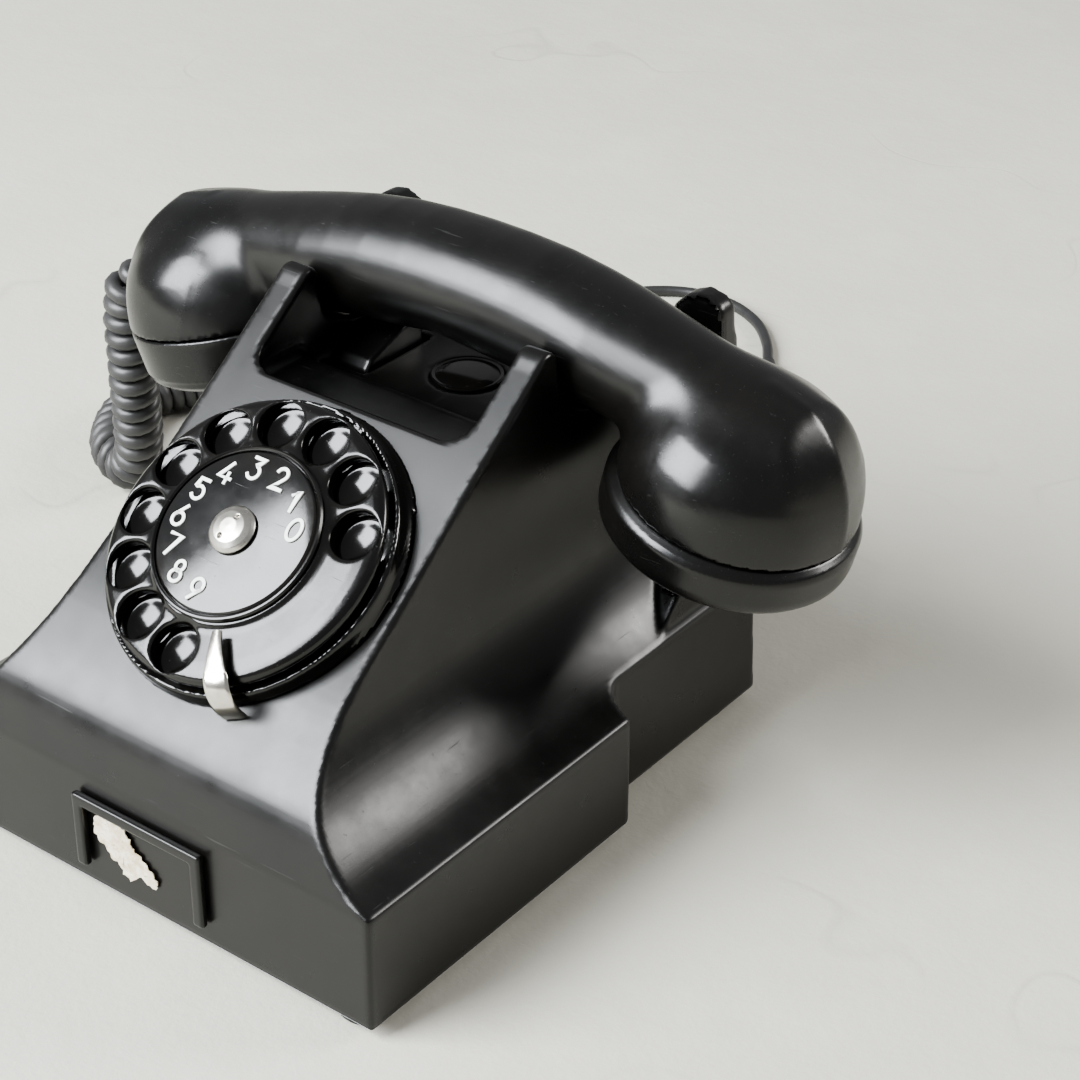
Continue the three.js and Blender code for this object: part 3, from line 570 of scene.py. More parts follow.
def stepped_sleeve(name, start, end, marks, sides, body, node):
    """A round sleeve between two points; marks gives a radius at each distance."""
    along = (end - start) / np.linalg.norm(end - start)
    points, faces = tube([start + along * d for d, _ in marks], np.array([r for _, r in marks]), sides)
    obj = mesh_piece(name, points, faces, BOOT, body, (node,))
    tidy_normals(obj)
    return obj


def boot_piece():
    """The rubber boot where the handset cord leaves the transmitter end."""
    length = np.linalg.norm(BOOT_TO - BOOT_FROM)
    marks = [(0, 3.6), (0.6, 4.1), (9, 4.2), (9.6, 4.35), (14, 4.35), (14.3, 3.85), (15, 3.85),
        (15.3, 4.2), (17.5, 4.1), (17.8, 3.6), (18.6, 3.6), (18.9, 3.95), (21.2, 3.8),
        (21.5, 3.3), (22.4, 3.3), (22.7, 3.6), (length, 3.3)]
    return stepped_sleeve("cord_boot", BOOT_FROM, BOOT_TO, marks, 24, "handset", "handset_cord_boot")


def make_cords():
    """Both cords with their sleeves."""
    curly = curly_path()
    points, faces = tube(curly, CURLY_WIRE, 10)
    cord = mesh_piece("curly_cord", points, faces, CURLY, None, ())
    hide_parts("handset_cord", "handset_cord_tail")
    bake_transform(cord)
    relief = exit_sleeve("curly_relief", CURLY_X, CURLY_WIRE, "handset_cord_relief", 5)
    boot = boot_piece()
    tuple(metres([(-30, 196, 11)])[0])
    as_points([tuple(p) for p in metres(curly)][::-1])

    line = line_path()
    points, faces = tube(line, LINE_WIRE, 10)
    wire = mesh_piece("line_wire", points, faces, LINE, "base",
                      ("line_cord", "line_cord_far", "line_cord_coil"))
    relief2 = exit_sleeve("line_relief", LINE_X, LINE_WIRE, "line_cord_relief", 6)
    sleeve = joint_sleeve()
    tuple(metres([(32, 196, 11)])[0])
    [tuple(p) for p in metres(line)]


def joint_sleeve():
    """A moulded sleeve round the line cord, with stepped ends."""
    start, end = np.array((-26.6, 322.3, -0.35)), np.array((-43, 344.7, -0.35))
    length = np.linalg.norm(end - start)
    near = [(0, 2.0), (0.4, 2.3), (3.2, 2.3), (3.8, 2.65)]
    marks = near + [(length - d, r) for d, r in near[::-1]]
    return stepped_sleeve("line_sleeve", start, end, marks, 20, "base", "line_cord_sleeve")


make_cords()


# ---- housing ----
FLARE = smooth_line([(73.4, 32.8), (63.8, 38), (53.8, 48), (46.4, 62.2), (44.2, 85), (43, 128)], 8)
SLOPE = smooth_line([(0.5, 33.5), (6.2, 48), (20.6, 62.2), (42, 77.7), (61.9, 92.3), (81.2, 107.1),
    (101.2, 122.2)], 8)


def lean(z, inset=0.0):
    """Depth of the leaning back wall at a height."""
    return 175.5 - 0.079 * z - inset


def horn_block(x, y, z):
    """The leaning back wall with its two raised corners."""
    wall = both(slab(y, 159.0, 400), y - lean(z), 1.2)
    foot = outline([(123, -40), (123, 32), (155, 62), (159, 100), (200, 100), (200, -40)], y, z)
    wall = both(np.minimum(wall, foot), y - lean(z), 1.2)
    front = [(63.8, -40), (63.8, 0), (58.2, 120.2), (57.0, 122.4), (54.2, 123.9), (50.4, 124.2),
        (46.6, 122.6), (43.4, 119.4), (41.2, 115.4),
        (39.0, 111.2), (36, 108.6), (30, 108), (-60, 108), (-60, -40)]
    return both(wall, outline(front, x, z), 0.8)


def housing_distance(x, y, z):
    """The hollow housing: flared sides, sloping front, cradle well and horns."""
    half = np.abs(x)
    bell = outline([(-60, -40), (73.7, -40)] + FLARE + [(43, 140), (-60, 140)], half, z)
    top = [(104, 124.6), (106.2, 125.8), (108.6, 125.4), (110.3, 123.2), (110.9, 118), (112.2, 111.5),
        (115.4, 108.6), (120, 108)]
    slope = outline([(0, -40)] + SLOPE + top + [(240, 108), (240, -40)], y, z)
    body = both(bell, slope, 1.1)
    body = either(body, horn_block(half, y, z), 1.5)
    wide = both(half - 73.7, y - 103, 0.8)
    narrow = half - 63.8
    corner = both(np.maximum(half - 70.8, y - 110), 7.0 - np.hypot(half - 70.8, y - 110), 0.4)
    plan = np.minimum(np.minimum(wide, narrow), corner)
    body = both(body, plan, 0.9)
    body = both(both(body, -y, 0.9), -z, 0.5)
    body = both(body, y - lean(z), 0.9)
    inner_bell = [(a - 3.3, b - 2.4) for a, b in FLARE]
    inner_bell = [(-60, -40), (70.4, -40)] + inner_bell + [(39.8, 140), (-60, 140)]
    inner_slope = [(a + 2.4, b - 2.3) for a, b in SLOPE]
    inner_slope = [(3.2, -40)] + inner_slope + [(104, 104), (240, 104), (240, -40)]
    inner = both(outline(inner_bell, half, z), outline(inner_slope, y, z))
    inner = np.maximum(np.maximum(inner, plan + 3.2), y - lean(z, 3.2))
    shelf = outline([(83, 160), (83, 105.1), (85, 103.9), (100.5, 103.6), (102.5, 102.6), (103.9, 99.4),
        (106, 97.5), (159, 97.5), (159, 160)], y, z)
    well = both(shelf, half - 34.6, 4.5)
    round_front = np.hypot(np.maximum(half - 28.6, 0), np.minimum(y - 89, 0)) - 6
    well = np.maximum(well, np.where((half > 28.6) & (y < 89), round_front, -9.0))
    inner = np.maximum(inner, -(np.maximum(well, -9) - 3.2))
    shell = np.maximum(body, -inner)
    shell = less(shell, well, 1.1)
    c, s = math.cos(math.radians(DIAL_TILT)), math.sin(math.radians(DIAL_TILT))
    dial_y = (y - DIAL_Y) * c + (z - DIAL_Z) * s
    dial_z = -(y - DIAL_Y) * s + (z - DIAL_Z) * c
    shell = np.maximum(shell, -np.maximum(np.hypot(half, dial_y) - 35, np.abs(dial_z) - 22))
    slot = np.maximum(np.abs(half - 27.6) - 5.9, slab(y, 112, 139))
    shell = np.maximum(shell, -np.maximum(slot, slab(z, 89, 99.5)))
    seat = np.hypot(x, y - PLUG_Y)
    shell = np.maximum(shell, -np.maximum(seat - 10.1, slab(z, 96.3, 103)))
    shell = np.maximum(shell, -np.maximum(seat - 5.8, slab(z, 89, 98)))
    exits = np.minimum(np.hypot(x - LINE_X, z - EXIT_Z), np.hypot(x - CURLY_X, z - EXIT_Z)) - 5
    shell = np.maximum(shell, -np.maximum(exits, slab(y, 165, 180)))
    return np.maximum(shell, -(grip_distance(x, y, z) - 0.45))


# ---- handset ----
GRIP_TOP = 140
GRIP_UNDER = 108.4
GRIP_HALF = 17.6
GRIP_ROUND = 2.15  # 2 is an oval and more is boxier


def spine(x):
    """Height of the top of the grip."""
    a = np.abs(x)
    out = [0, 12, 25, 37, 50, 62, 75, 87, 100, 104, 120]
    drop = [0, 0.25, 1.2, 3.1, 6.0, 9.0, 12.4, 15.6, 19.0, 20.1, 26]
    return GRIP_TOP - np.interp(a, out, drop)


def grip_distance(x, y, z):
    """The curved bar of the handset, which narrows towards its ends."""
    t = np.clip(np.abs(x) / 92, 0, 1)
    late = np.maximum(t - 0.5, 0) * 2
    top = spine(x)
    under = GRIP_UNDER - 1.4 * t - 16.5 * t * t + 11 * late ** 2
    thick = (top - under) / 2
    deep = GRIP_HALF - 4.4 * late
    u = np.abs(y - HANDSET_Y) / deep
    w = np.abs(z - (top - thick)) / thick
    oval = (u ** GRIP_ROUND + w ** GRIP_ROUND) ** (1 / GRIP_ROUND)
    return (oval - 1) * np.minimum(thick, deep) * 0.97


DOME = [(0, 30)] + smooth_line([(0, 30), (8, 29.3), (15, 27.2), (21.5, 23.2), (26.6, 17.6),
    (29.6, 10.8), (30.8, 4), (31, 0.5)], 6)


def in_cap(x, y, z, side):
    """Cap-frame radius and height of a working-frame point."""
    c, s = math.cos(math.radians(CAP_TILT)), math.sin(math.radians(CAP_TILT))
    dx, dz = x - side * CAP_X, z - CAP_Z
    across = c * dx - s * side * dz
    height = s * side * dx + c * dz
    return np.hypot(across, y - HANDSET_Y), height


KEEL = [(31.7, -5), (31.7, 0), (31.0, 7.2), (28.8, 14.7), (25.0, 21.4), (20.6, 26.4), (16.9, 29.4),
    (12.6, 32.2), (8.5, 34.5)]
KEEL = np.array([KEEL[0]] + smooth_line(KEEL, 8) + [(4.0, 37)])


def teardrop(a, b, big, small, reach):
    """Distance to the hull of a circle at the origin and a small one out along a; b is never negative."""
    reach = np.maximum(reach, big - small + 0.05)
    sine = (big - small) / reach
    cosine = np.sqrt(np.maximum(1 - sine * sine, 1e-6))
    k = a * cosine - b * sine
    near = np.hypot(a, b) - big
    far = np.hypot(a - reach, b) - small
    flank = b * cosine + a * sine - big
    return np.where(k < 0, near, np.where(k > cosine * reach, far, flank))


def handset_distance(x, y, z):
    """Grip, two domes and the keel down each outer end, hollowed over the caps and bored for the boot."""
    a = np.abs(x)
    turn = math.radians(CAP_TILT)
    along = math.cos(turn) * (a - CAP_X) - math.sin(turn) * (z - CAP_Z)
    aside = np.abs(y - HANDSET_Y)
    grip = grip_distance(x, y, z)
    grip = np.maximum(grip, a - 112)
    radius, height = in_cap(a, y, z, 1)
    dome = outline([(-40, 30), (-40, 0), (30.7, 0), (31, 0.4)] + DOME[::-1][1:], radius, height)
    keel = np.interp(height, KEEL[:, 1], KEEL[:, 0])
    slant = np.interp(height, [0, 4, 8, 12, 16, 20], [0.10, 0.17, 0.24, 0.295, 0.33, 0.345])
    lip = (along - keel) * np.cos(slant) + aside * np.sin(slant)
    prow_heights = [-5, 0, 7.2, 14.7, 21.4, 26.4, 29.4, 33]
    prow = np.interp(height, prow_heights, [30, 30, 29.2, 27.1, 22.3, 15.0, 6.0, 1])
    edge = 0.35  # radius of the keel
    cone = teardrop(along, aside, prow, edge, keel - edge)
    cone = both(both(cone, -height, 0.5), z - spine(x), 2.2)
    cone = np.maximum(cone, 78 - a)
    shape = either(either(grip, dome, 5.5), cone, 2.0)
    shape = both(shape, np.where(height > -2, lip, -20), 1.6)
    shape = both(shape, -height, 0.5)
    inside = [(-40, -3), (26.5, -3), (26.5, 5), (24, 12), (16, 18), (0, 20), (-40, 20)]
    hollow = np.maximum(radius - 26.5, outline(inside, radius, height))
    shape = np.maximum(shape, -np.where(a > 40, hollow, 9))
    bore = (BOOT_TO - BOOT_FROM) / np.linalg.norm(BOOT_TO - BOOT_FROM)
    d = [x - BOOT_FROM[0], y - BOOT_FROM[1], z - BOOT_FROM[2]]
    s = d[0] * bore[0] + d[1] * bore[1] + d[2] * bore[2]
    off = np.sqrt(np.maximum(d[0] ** 2 + d[1] ** 2 + d[2] ** 2 - s ** 2, 0))
    return np.maximum(shape, -np.maximum(off - 4.7, -1.0 - s))


def make_handset():
    """The shell and the two screwed caps, with their rings of sound holes."""
    skinned("handset", handset_distance, (-118, 96, 80), (118, 164, 142), 0.85, HANDSET_BAKELITE,
        "handset", ("handset_shell",))
    receiver = [(26.8, -0.3), (30.4, -0.3), (31.0, -0.8), (32.3, -1.8), (33.0, -3.2), (33.0, -9.6),
        (32.7, -11.4), (31.4, -13.0), (28.6, -14.1), (22, -13.2), (12, -11.6), (0, -11),
        (0, -8.6), (26.8, -9)]
    transmitter = [(26.8, -0.3), (30.5, -0.3), (31.0, -0.8), (30.9, -2.4), (29.7, -12.4), (29.2, -13.0),
        (28.6, -14.6),
        (26.6, -16.1), (20, -17.0), (10, -17.5), (0, -17.6), (0, -11), (26.8, -10)]
    caps = (("receiver", receiver, "right", 8.0, 6), ("transmitter", transmitter, "left", 9.0, 8))
    for name, profile, side, circle, count in caps:
        matrix = CAPS[side]
        low = min(h for _, h in profile)
        holes = [(circle, k * 360 / count) for k in range(count)] + [(0, 0)]

        def cap(x, y, z, profile=profile, holes=holes):
            radius = np.hypot(x, y)
            shape = outline(profile, radius, z)
            for r, angle in holes:
                cx, cy = r * math.cos(math.radians(angle)), r * math.sin(math.radians(angle))
                shape = less(shape, np.hypot(x - cx, y - cy) - 1.5, 0.5)
            return shape

        skinned(name + "_cap_form", cap, (-34, -34, low), (34, 34, 0), 0.55, HANDSET_BAKELITE,
            "handset", (name + "_cap",), matrix=matrix)


# ---- dial ----
HOLES = [math.radians(21.7 + 27.5 * k) for k in range(10)]


def wheel_distance(x, y, z):
    """The finger wheel with its ten flared holes."""
    radius = np.hypot(x, y)
    section = [(5, -4.4), (36.6, -4.4), (37.7, -4.0), (38.2, -3.2), (38.2, -2.2), (37.8, -1.3),
        (36.9, -0.6), (35.6, -0.2), (33, 0.05), (25.8, 0.2), (24.6, 0.45), (23.9, 1.0),
        (23.4, 1.25), (5, 1.25)]
    wheel = outline(section, radius, z)
    for angle in HOLES:
        away = np.hypot(x - HOLE_CIRCLE * math.cos(angle), y - HOLE_CIRCLE * math.sin(angle))
        cone = away - (6.25 + 0.30 * np.clip(z + 1.2, -1.2, 2) ** 2)
        wheel = less(wheel, cone, 0.9)
    return wheel


def case_distance(x, y, z):
    """Collar and glossy dished floor under the finger wheel."""
    radius = np.hypot(x, y)
    section = [(8, -16), (8, -5), (38.6, -5), (38.9, -4.7), (39.4, -4.4), (39.8, -4.6), (40.1, -5.6),
        (40.5, -8),
        (41.3, -9.8), (42.4, -11), (42.4, -16)]
    case = outline(section, radius, z)
    for angle in HOLES:
        away = np.hypot(x - HOLE_CIRCLE * math.cos(angle), y - HOLE_CIRCLE * math.sin(angle))
        dish = np.sqrt(away ** 2 + (z + 5 - 9.2) ** 2) - 10.9
        case = less(case, dish, 0.4)
    c, s = math.cos(math.radians(DIAL_TILT)), math.sin(math.radians(DIAL_TILT))
    wy, wz = DIAL_Y + c * y - s * z, DIAL_Z + s * y + c * z
    slope = [(-0.3, -40)] + [(a - 0.35, b + 0.4) for a, b in SLOPE] + [(240, 130), (240, -40)]
    case = np.maximum(case, -outline(slope, wy, wz))
    sleeve = outline([(8, -6.7), (34.6, -6.7), (34.6, -20), (32.4, -20), (32.4, -8), (8, -8)], radius, z)
    return np.maximum(np.minimum(case, sleeve), np.where(radius < 32.4, -z - 7.6, -99))


def dial_place(r, a, h):
    """Working-frame point of a turned point on the dial's axis."""
    return tuple(moved(DIAL, [(r * math.cos(a), r * math.sin(a), h)])[0])


def digit_strokes():
    """Centre lines of plain numerals in a box 0.62 wide and 1 high, centred on the origin."""
    def ring(cx, cy, rx, ry, start, stop, count=20):
        angles = [math.radians(a) for a in np.linspace(start, stop, count)]
        return [(cx + rx * math.cos(a), cy + ry * math.sin(a)) for a in angles]
    return {
        "0": [ring(0, 0, 0.29, 0.44, 90, 450, 36)],
        "1": [[(-0.17, 0.20), (0.06, 0.44), (0.06, -0.44)]],
        "2": [ring(0, 0.19, 0.25, 0.25, 165, -30, 18) + [(0.02, -0.19), (-0.27, -0.43), (0.29, -0.43)]],
        "3": [[(-0.25, 0.43), (0.24, 0.43), (-0.02, 0.10)] + ring(-0.02, -0.17, 0.27, 0.27, 82, -150)],
        "4": [[(0.12, -0.44), (0.12, 0.0)], [(0.10, 0.44), (-0.29, -0.22), (0.30, -0.22)]],
        "5": [[(0.25, 0.43), (-0.17, 0.43), (-0.22, 0.06)] + ring(-0.01, -0.16, 0.27, 0.28, 128, -148)],
        "6": [[(0.16, 0.44), (-0.17, 0.02)] + ring(0, -0.17, 0.26, 0.27, 150, 510, 32)],
        "7": [[(-0.27, 0.43), (0.28, 0.43), (-0.08, -0.44)]],
        "8": [ring(0, 0.22, 0.20, 0.21, 0, 360, 28), ring(0, -0.20, 0.26, 0.24, 0, 360, 28)],
        "9": [[(-0.16, -0.44), (0.17, -0.02)] + ring(0, 0.17, 0.26, 0.27, -30, 330, 32)],
    }


def ribbon(path, half, centre, size, low, high):
    """A flat raised stroke with round ends along a centre line, in the dial frame."""
    path = np.asarray(path, float)
    closed = np.linalg.norm(path[0] - path[-1]) < 1e-6
    points, faces = [], []

    def quad_strip(left, right):
        base = len(points)
        for p, q in zip(left, right):
            points.extend([(*p, low), (*p, high), (*q, high), (*q, low)])
        for i in range(len(left) - 1):
            a = base + 4 * i
            faces.append((a + 1, a + 5, a + 6, a + 2))
            faces.append((a, a + 4, a + 5, a + 1))
            faces.append((a + 2, a + 6, a + 7, a + 3))
            faces.append((a + 3, a + 7, a + 4, a))
        if not closed:
            faces.append((base, base + 1, base + 2, base + 3))
            last = base + 4 * (len(left) - 1)
            faces.append((last + 3, last + 2, last + 1, last))

    flat = path * size
    step = np.gradient(flat, axis=0)
    if closed:
        step[0] = step[-1] = flat[1] - flat[-2]
    step /= np.linalg.norm(step, axis=1)[:, None]
    side = np.stack([-step[:, 1], step[:, 0]], 1)
    corner = np.ones(len(flat))
    for i in range(1, len(flat) - 1):
        a = flat[i] - flat[i - 1]
        b = flat[i + 1] - flat[i]
        cosine = np.dot(a, b) / (np.linalg.norm(a) * np.linalg.norm(b))
        corner[i] = 1 / max(math.sqrt(max((1 + cosine) / 2, 0)), 0.55)
    offset = side * (half * corner)[:, None]
    if not closed:
        flat = flat.copy()
        flat[0] -= step[0] * half * 0.8
        flat[-1] += step[-1] * half * 0.8
    quad_strip(flat + offset + centre, flat - offset + centre)
    return points, faces


def make_numbers(material):
    """The ten numerals as raised strokes on the number disc."""
    strokes = digit_strokes()
    points, faces = [], []
    for k in range(10):
        angle = math.radians(21 + 27.4 * k)
        centre = np.array((16.7 * math.cos(angle), 16.7 * math.sin(angle)))
        for stroke in strokes[str(k)]:
            p, f = ribbon(stroke, 0.42, centre, 6.3, 2.96, 3.42)
            faces += [tuple(i + len(points) for i in face) for face in f]
            points += p
    mesh_piece("numerals", moved(DIAL, points), faces, material, "dial", (), smooth=False)


def stop_points():
    """The finger stop: a curved, tapering strip that rises over the wheel's edge."""
    rise = [(43.4, -8.6), (43.3, -5.2), (42.6, -2.2), (41.0, 0.5)]
    line = smooth_line(rise + [(38.4, 2.2), (34, 2.75), (30, 2.9), (26.0, 2.75)], 8)
    thick = 1.15
    points, faces = [], []
    for i, (r, z) in enumerate(line):
        reach = np.interp(r, [25.5, 30, 34, 38, 41, 44], [0.35, 0.55, 0.75, 1.0, 1.0, 1.0])
        half = 3.3 * reach
        sweep = -1.9 * np.clip((41 - r) / 15, 0, 1) ** 1.6 + 0.9 * np.clip((36 - r) / 10, 0, 1) ** 2
        after = line[min(i + 1, len(line) - 1)]
        before = line[max(i - 1, 0)]
        dr, dz = after[0] - before[0], after[1] - before[1]
        norm = math.hypot(dr, dz)
        nr, nz = dz / norm, -dr / norm
        for k in range(12):
            a = 2 * math.pi * k / 12
            across = half * np.sign(math.cos(a)) * abs(math.cos(a)) ** 0.45
            lift = thick / 2 * np.sign(math.sin(a)) * abs(math.sin(a)) ** 0.6
            points.append((r + nr * lift, sweep + across, z + nz * lift))
    rows = len(line)
    for i in range(rows - 1):
        for k in range(12):
            m = (k + 1) % 12
            faces.append((i * 12 + k, i * 12 + m, (i + 1) * 12 + m, (i + 1) * 12 + k))
    faces.append(tuple(range(11, -1, -1)))
    faces.append(tuple(range((rows - 1) * 12, rows * 12)))
    turn = Matrix.Rotation(math.radians(297), 4, "Z")
    return moved(DIAL @ turn, points), faces


def make_dial():
    """Collar, finger wheel, number disc and its bezel, hub, finger stop and numerals."""
    skinned("dial_collar", case_distance, (-43, -43, -21), (43, 43, -4), 0.6, CASE_BAKELITE, "base",
        ("dial_case",), matrix=DIAL)
    skinned("wheel", wheel_distance, (-38.4, -38.4, -4.6), (38.4, 38.4, 1.4), 0.42, DIAL_BAKELITE,
        "dial", ("finger_wheel",), matrix=DIAL)
    disc = [(2.9, 1.6), (21.6, 1.6), (21.7, 2.3), (21.2, 2.75), (19, 2.95), (10, 3.2), (6.6, 3.25),
        (2.9, 3.3)]
    enamel = bakelite("disc_enamel", 0.1, 0.12, 9.1, 0.008)
    turned_piece("face_disc", disc, dial_place, enamel, "dial", ("number_disc",), 96,
        closed=True)
    bezel = [(21.95, 1.6), (23.3, 1.6), (23.35, 2.2), (23.0, 2.75), (22.6, 2.85), (22.3, 2.6),
        (22.1, 2.75), (21.95, 2.6)]
    turned_piece("face_bezel", bezel, dial_place, DIAL_BAKELITE, "dial", ("number_disc_ring",),
        96, closed=True)
    nickel = metal("worn_nickel", (0.62, 0.60, 0.55, 1), 0.24, (1, 1, 1), 0.16)

    def hub(x, y, z):
        radius = np.hypot(x, y)
        section = [(-20, 4.5), (2.8, 4.5), (2.8, 3.45), (6.0, 3.45), (6.4, 3.8), (6.3, 4.2),
            (5.6, 5.0), (4.2, 5.8), (2.2, 6.25), (0, 6.35), (-20, 6.35)]
        cap = outline(section, radius, z)
        for side in (-1, 1):
            cap = less(cap, np.maximum(np.hypot(x - side * 0.9, y - side * 2.9) - 0.62, 5.0 - z), 0.25)
        return cap

    skinned("hub_dome", hub, (-6.6, -6.6, 3.4), (6.6, 6.6, 6.4), 0.16, nickel, "dial", ("hub_cap",),
        matrix=DIAL)
    points, faces = stop_points()
    bright = metal("polished_nickel", (0.74, 0.71, 0.64, 1), 0.14, (1, 1, 30), 0.08)
    stop = mesh_piece("stop_finger", points, faces, bright, "base", ("finger_stop",))
    tidy_normals(stop, 50)
    white = plain_paint("numeral_white", (0.82, 0.82, 0.80, 1), 0.45)
    make_numbers(white)


# ---- smaller pieces on the housing ----
def make_card():
    """The card holder on the front and the torn scrap of paper left in it."""
    def bars(x, y, z):
        frame_shape = block(x, y, z, (-21.7, -2.15, 6.4), (21.7, 0.15, 28.2), 0.9)
        gap = block(x, y, z, (-18.3, -4, -5), (18.3, 2, 25.0), 0.7)
        return np.maximum(less(frame_shape, gap, 0.7), y - np.where(z > 34, 0.2, -0.1))

    skinned("card_holder", bars, (-22, -2.4, 6), (22, 0.4, 28.6), 0.34, BAKELITE, "base", ("card_frame",))
    edge = [(-15.5, 22.6), (-13.2, 24.0), (-10.6, 23.4), (-8.2, 24.2), (-5.4, 22.8), (-3.6, 20.6),
        (-2.6, 18.2), (-0.2, 17.0), (1.8, 15.2),
        (4.0, 13.4), (5.2, 11.2), (4.4, 9.2), (1.6, 9.4), (-0.8, 10.8), (-2.6, 9.0), (-4.4, 7.6),
        (-6.8, 8.8), (-8.0, 11.2),
        (-10.8, 12.0), (-12.4, 14.6), (-15.0, 15.8), (-16.3, 18.4), (-16.0, 20.8)]
    outline_points = []
    for i, (a, b) in enumerate(zip(edge, edge[1:] + edge[:1])):
        for k in range(6):
            t = k / 6
            rough = 0.35 * math.sin(12.9 * i + 7.3 * k) + 0.2 * math.sin(31.7 * i + 17.1 * k)
            shift = rough * 0.6
            outline_points.append((a[0] + (b[0] - a[0]) * t + shift, a[1] + (b[1] - a[1]) * t + shift))
    count = len(outline_points)
    centre = np.mean(outline_points, axis=0)
    points = [(x, -0.32 - 0.10 * math.sin(x * 1.7 + z), z) for x, z in outline_points]
    inner = []
    for x, z in outline_points:
        inner.append((centre[0] + (x - centre[0]) * 0.55, -0.42 - 0.07 * math.sin(x + z * 2.1),
                      centre[1] + (z - centre[1]) * 0.55))
    back = [(x, -0.12, z) for x, _, z in points]
    points = points + inner + [(centre[0], -0.45, centre[1])] + back
    faces = []
    for i in range(count):
        j = (i + 1) % count
        faces.append((i, j, count + j, count + i))
        faces.append((count + i, count + j, 2 * count))
        faces.append((j, i, 2 * count + 1 + i, 2 * count + 1 + j))
    faces.append(tuple(2 * count + 1 + i for i in range(count)))
    n = Nodes("torn_card")
    stain = n.noise(220, 5, 0.7)
    edge_wear = n.noise(700, 4, 0.7)
    base = n.mix(n.ramp(stain, 0.4, 0.62), (0.74, 0.68, 0.54, 1), (0.50, 0.42, 0.29, 1))
    base = n.mix(n.ramp(edge_wear, 0.58, 0.68), base, (0.34, 0.28, 0.19, 1))
    paper = n.set(Base_Color=base, Roughness=0.92, Normal=n.bump(edge_wear, 0.5, 0.0003))
    card = mesh_piece("card_scrap", points, faces, paper, "base", ("name_card",))
    tidy_normals(card, 40)


def make_feet():
    """Four rubber feet, turned from one profile."""
    profile = [(1.9, -1.3), (2.0, -2.9), (5.2, -3.0), (6.2, -2.8), (6.75, -2.1), (6.85, -0.7),
        (6.6, -0.42), (4.9, -0.4), (4.9, 0.6), (1.9, 0.6)]
    corners = [("front_left", -64, 9), ("front_right", 64, 9), ("rear_left", -55, 161),
               ("rear_right", 55, 161)]
    for name, x, y in corners:
        def place(r, a, h, x=x, y=y):
            return (x + r * math.cos(a), y + r * math.sin(a), h)

        turned_piece("pad_" + name, profile, place, FOOT, "base", ("foot_" + name,), 36,
                     closed=True)


def make_cradle():
    """The round plug in the floor of the well and the rocker the handset presses down."""
    profile = [(0, 96.4), (5.4, 96.4), (5.4, 97.55), (9.8, 97.55), (9.85, 97.9), (9.5, 98.1),
        (9.1, 97.95), (8.6, 97.9), (8.2, 98.15), (6, 98.45), (0, 98.6)]

    def place(r, a, h):
        return (r * math.cos(a), PLUG_Y + r * math.sin(a), h)

    turned_piece("floor_plug", profile, place, CASE_BAKELITE, "base", ("well_plug",), 64)
    side = [(112.8, 94), (113.4, 97.3), (115.2, 99.6), (122, 102.2), (128, 104.3), (132.2, 105.1),
        (134.6, 104.9), (136.3, 103.4), (136.9, 95),
        (131, 91.2), (114, 90.2)]

    def lever(x, y, z):
        finger = both(outline(side, y, z), np.abs(np.abs(x) - 27.6) - 5.4, 1.1)
        shaft = np.maximum(np.hypot(y - 114, z - 90.3) - 1.6, np.abs(x) - 35)
        tail = block(x, y, z, (-2.2, 113, 76), (2.2, 115, 90.3), 0.4)
        return np.minimum(np.minimum(finger, shaft), tail)

    skinned("hook_rocker", lever, (-35.2, 111, 75.8), (35.2, 138, 106), 0.6, BAKELITE, "hook",
        ("hook_lever",))


def dress_cad_nodes():
    """Procedural finishes for the CAD nodes that stay as they are."""
    steel = metal("zinc_steel", (0.55, 0.55, 0.56, 1), 0.3)
    brass = metal("plain_brass", (0.62, 0.45, 0.18, 1), 0.26)
    copper = metal("copper_wire", (0.55, 0.25, 0.12, 1), 0.34, (1, 1, 60))
    plug_black = bakelite("plug_bakelite", 0.33, 0.5, 11.0)
    chosen = {"steel": steel, "brass": brass, "copper": copper, "nickel": steel, "paper": steel,
              "bakelite": plug_black, "enamel": plug_black, "rubber": BOOT, "cord": LINE}
    slots = {entry["node"]: entry["material_slot"] for entry in frame["record"]["subparts"]}
    for name, obj in frame["nodes"].items():
        obj.data.materials.clear()
        obj.data.materials.append(chosen[slots[name]])


dress_cad_nodes()
skinned("housing_form", housing_distance, (-74, -0.5, -0.5), (74, 176, 126.5), 1.0, BAKELITE, "base",
    ("housing",))
make_handset()
make_dial()
make_card()
make_feet()
make_cradle()


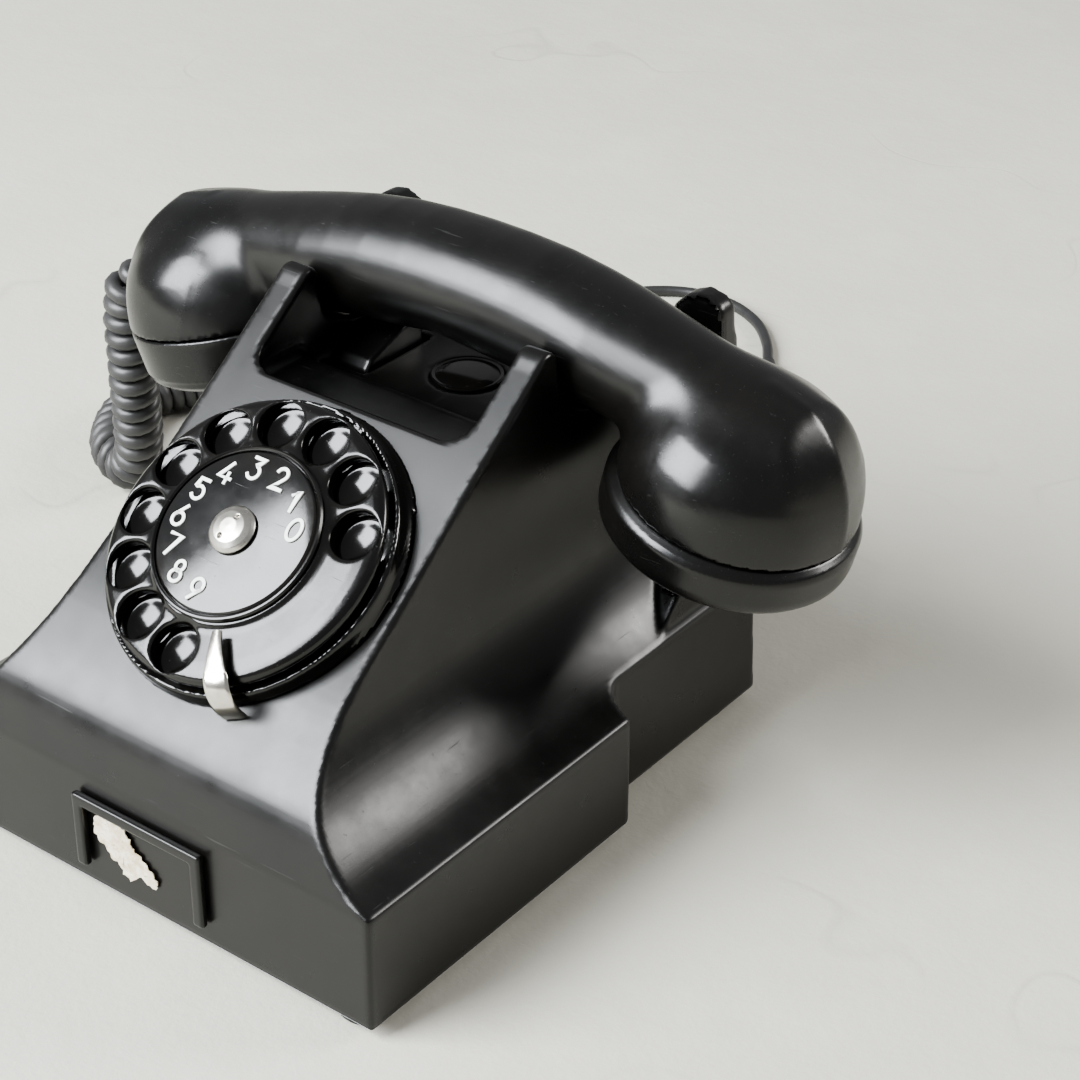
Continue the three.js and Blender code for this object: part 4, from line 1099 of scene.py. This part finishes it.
# ---- studio ----
def make_floor():
    """A trowelled plaster floor with a few fine cracks."""
    mesh = bpy.data.meshes.new("floor")
    size = 4.0
    corners = [(-size, -size, 0), (size, -size, 0), (size, size, 0), (-size, size, 0)]
    mesh.from_pydata(corners, [], [(0, 1, 2, 3)])
    n = Nodes("plaster_floor")
    broad = n.noise(3.5, 4, 0.55)
    trowel = n.noise(22, 6, 0.62)
    grain = n.noise(420, 4, 0.65)
    base = n.mix(n.ramp(broad, 0.3, 0.7), (0.50, 0.485, 0.42, 1), (0.56, 0.545, 0.48, 1))
    base = n.mix(n.ramp(trowel, 0.5, 0.75, 0, 0.35), base, (0.60, 0.59, 0.53, 1))
    level = n.math("SUBTRACT", n.noise(4.5, 3, 0.6, offset=(2.3, 5.1, 0)), 0.5)
    vein = n.ramp(n.math("ABSOLUTE", level, 0), 0.0, 0.006)
    patchy = n.ramp(n.noise(7, 2, 0.5, offset=(7.7, 1.2, 0)), 0.52, 0.62)
    crack = n.math("MULTIPLY", n.math("SUBTRACT", 1.0, vein), patchy)
    base = n.mix(n.math("MULTIPLY", crack, 0.3), base, (0.36, 0.345, 0.30, 1))
    height = n.math("ADD", n.math("MULTIPLY", trowel, 1.0), n.math("MULTIPLY", grain, 0.12))
    height = n.math("SUBTRACT", height, n.math("MULTIPLY", crack, 0.15))
    floor = n.set(Base_Color=base, Roughness=0.72, Normal=n.bump(height, 0.22, 0.004))
    mesh.materials.append(floor)
    link(bpy.data.objects.new("floor", mesh))


def soft_box(name, direction, distance, width, height, power, colour=(1, 1, 1)):
    """A rectangular lamp in a direction from the telephone, facing it."""
    data = bpy.data.lights.new(name, "AREA")
    data.shape = "RECTANGLE"
    data.size = width
    data.size_y = height
    data.energy = power
    data.color = colour
    lamp = link(bpy.data.objects.new(name, data))
    centre = Vector((0, 0, 0.06))
    place = centre + Vector(direction).normalized() * distance
    facing = (centre - place).to_track_quat("-Z", "Y").to_matrix().to_4x4()
    lamp.matrix_world = Matrix.Translation(place) @ facing


def make_light():
    """A large key from the left, a smaller lamp behind and a weak even surround."""
    scene.view_settings.look = "AgX - Medium High Contrast"
    world = bpy.data.worlds.new("studio")
    scene.world = world
    world.use_nodes = True
    background = world.node_tree.nodes["Background"]
    background.inputs["Color"].default_value = (0.97, 0.98, 1.0, 1)
    background.inputs["Strength"].default_value = 0.36
    soft_box("key", (-0.42, -0.685, 0.595), 1.9, 1.25, 1.3, 136, (0.93, 0.965, 1.0))
    soft_box("back", (0.62, 0.64, 0.47), 2.2, 0.8, 0.6, 27, (1.0, 0.985, 0.96))


make_floor()
make_light()
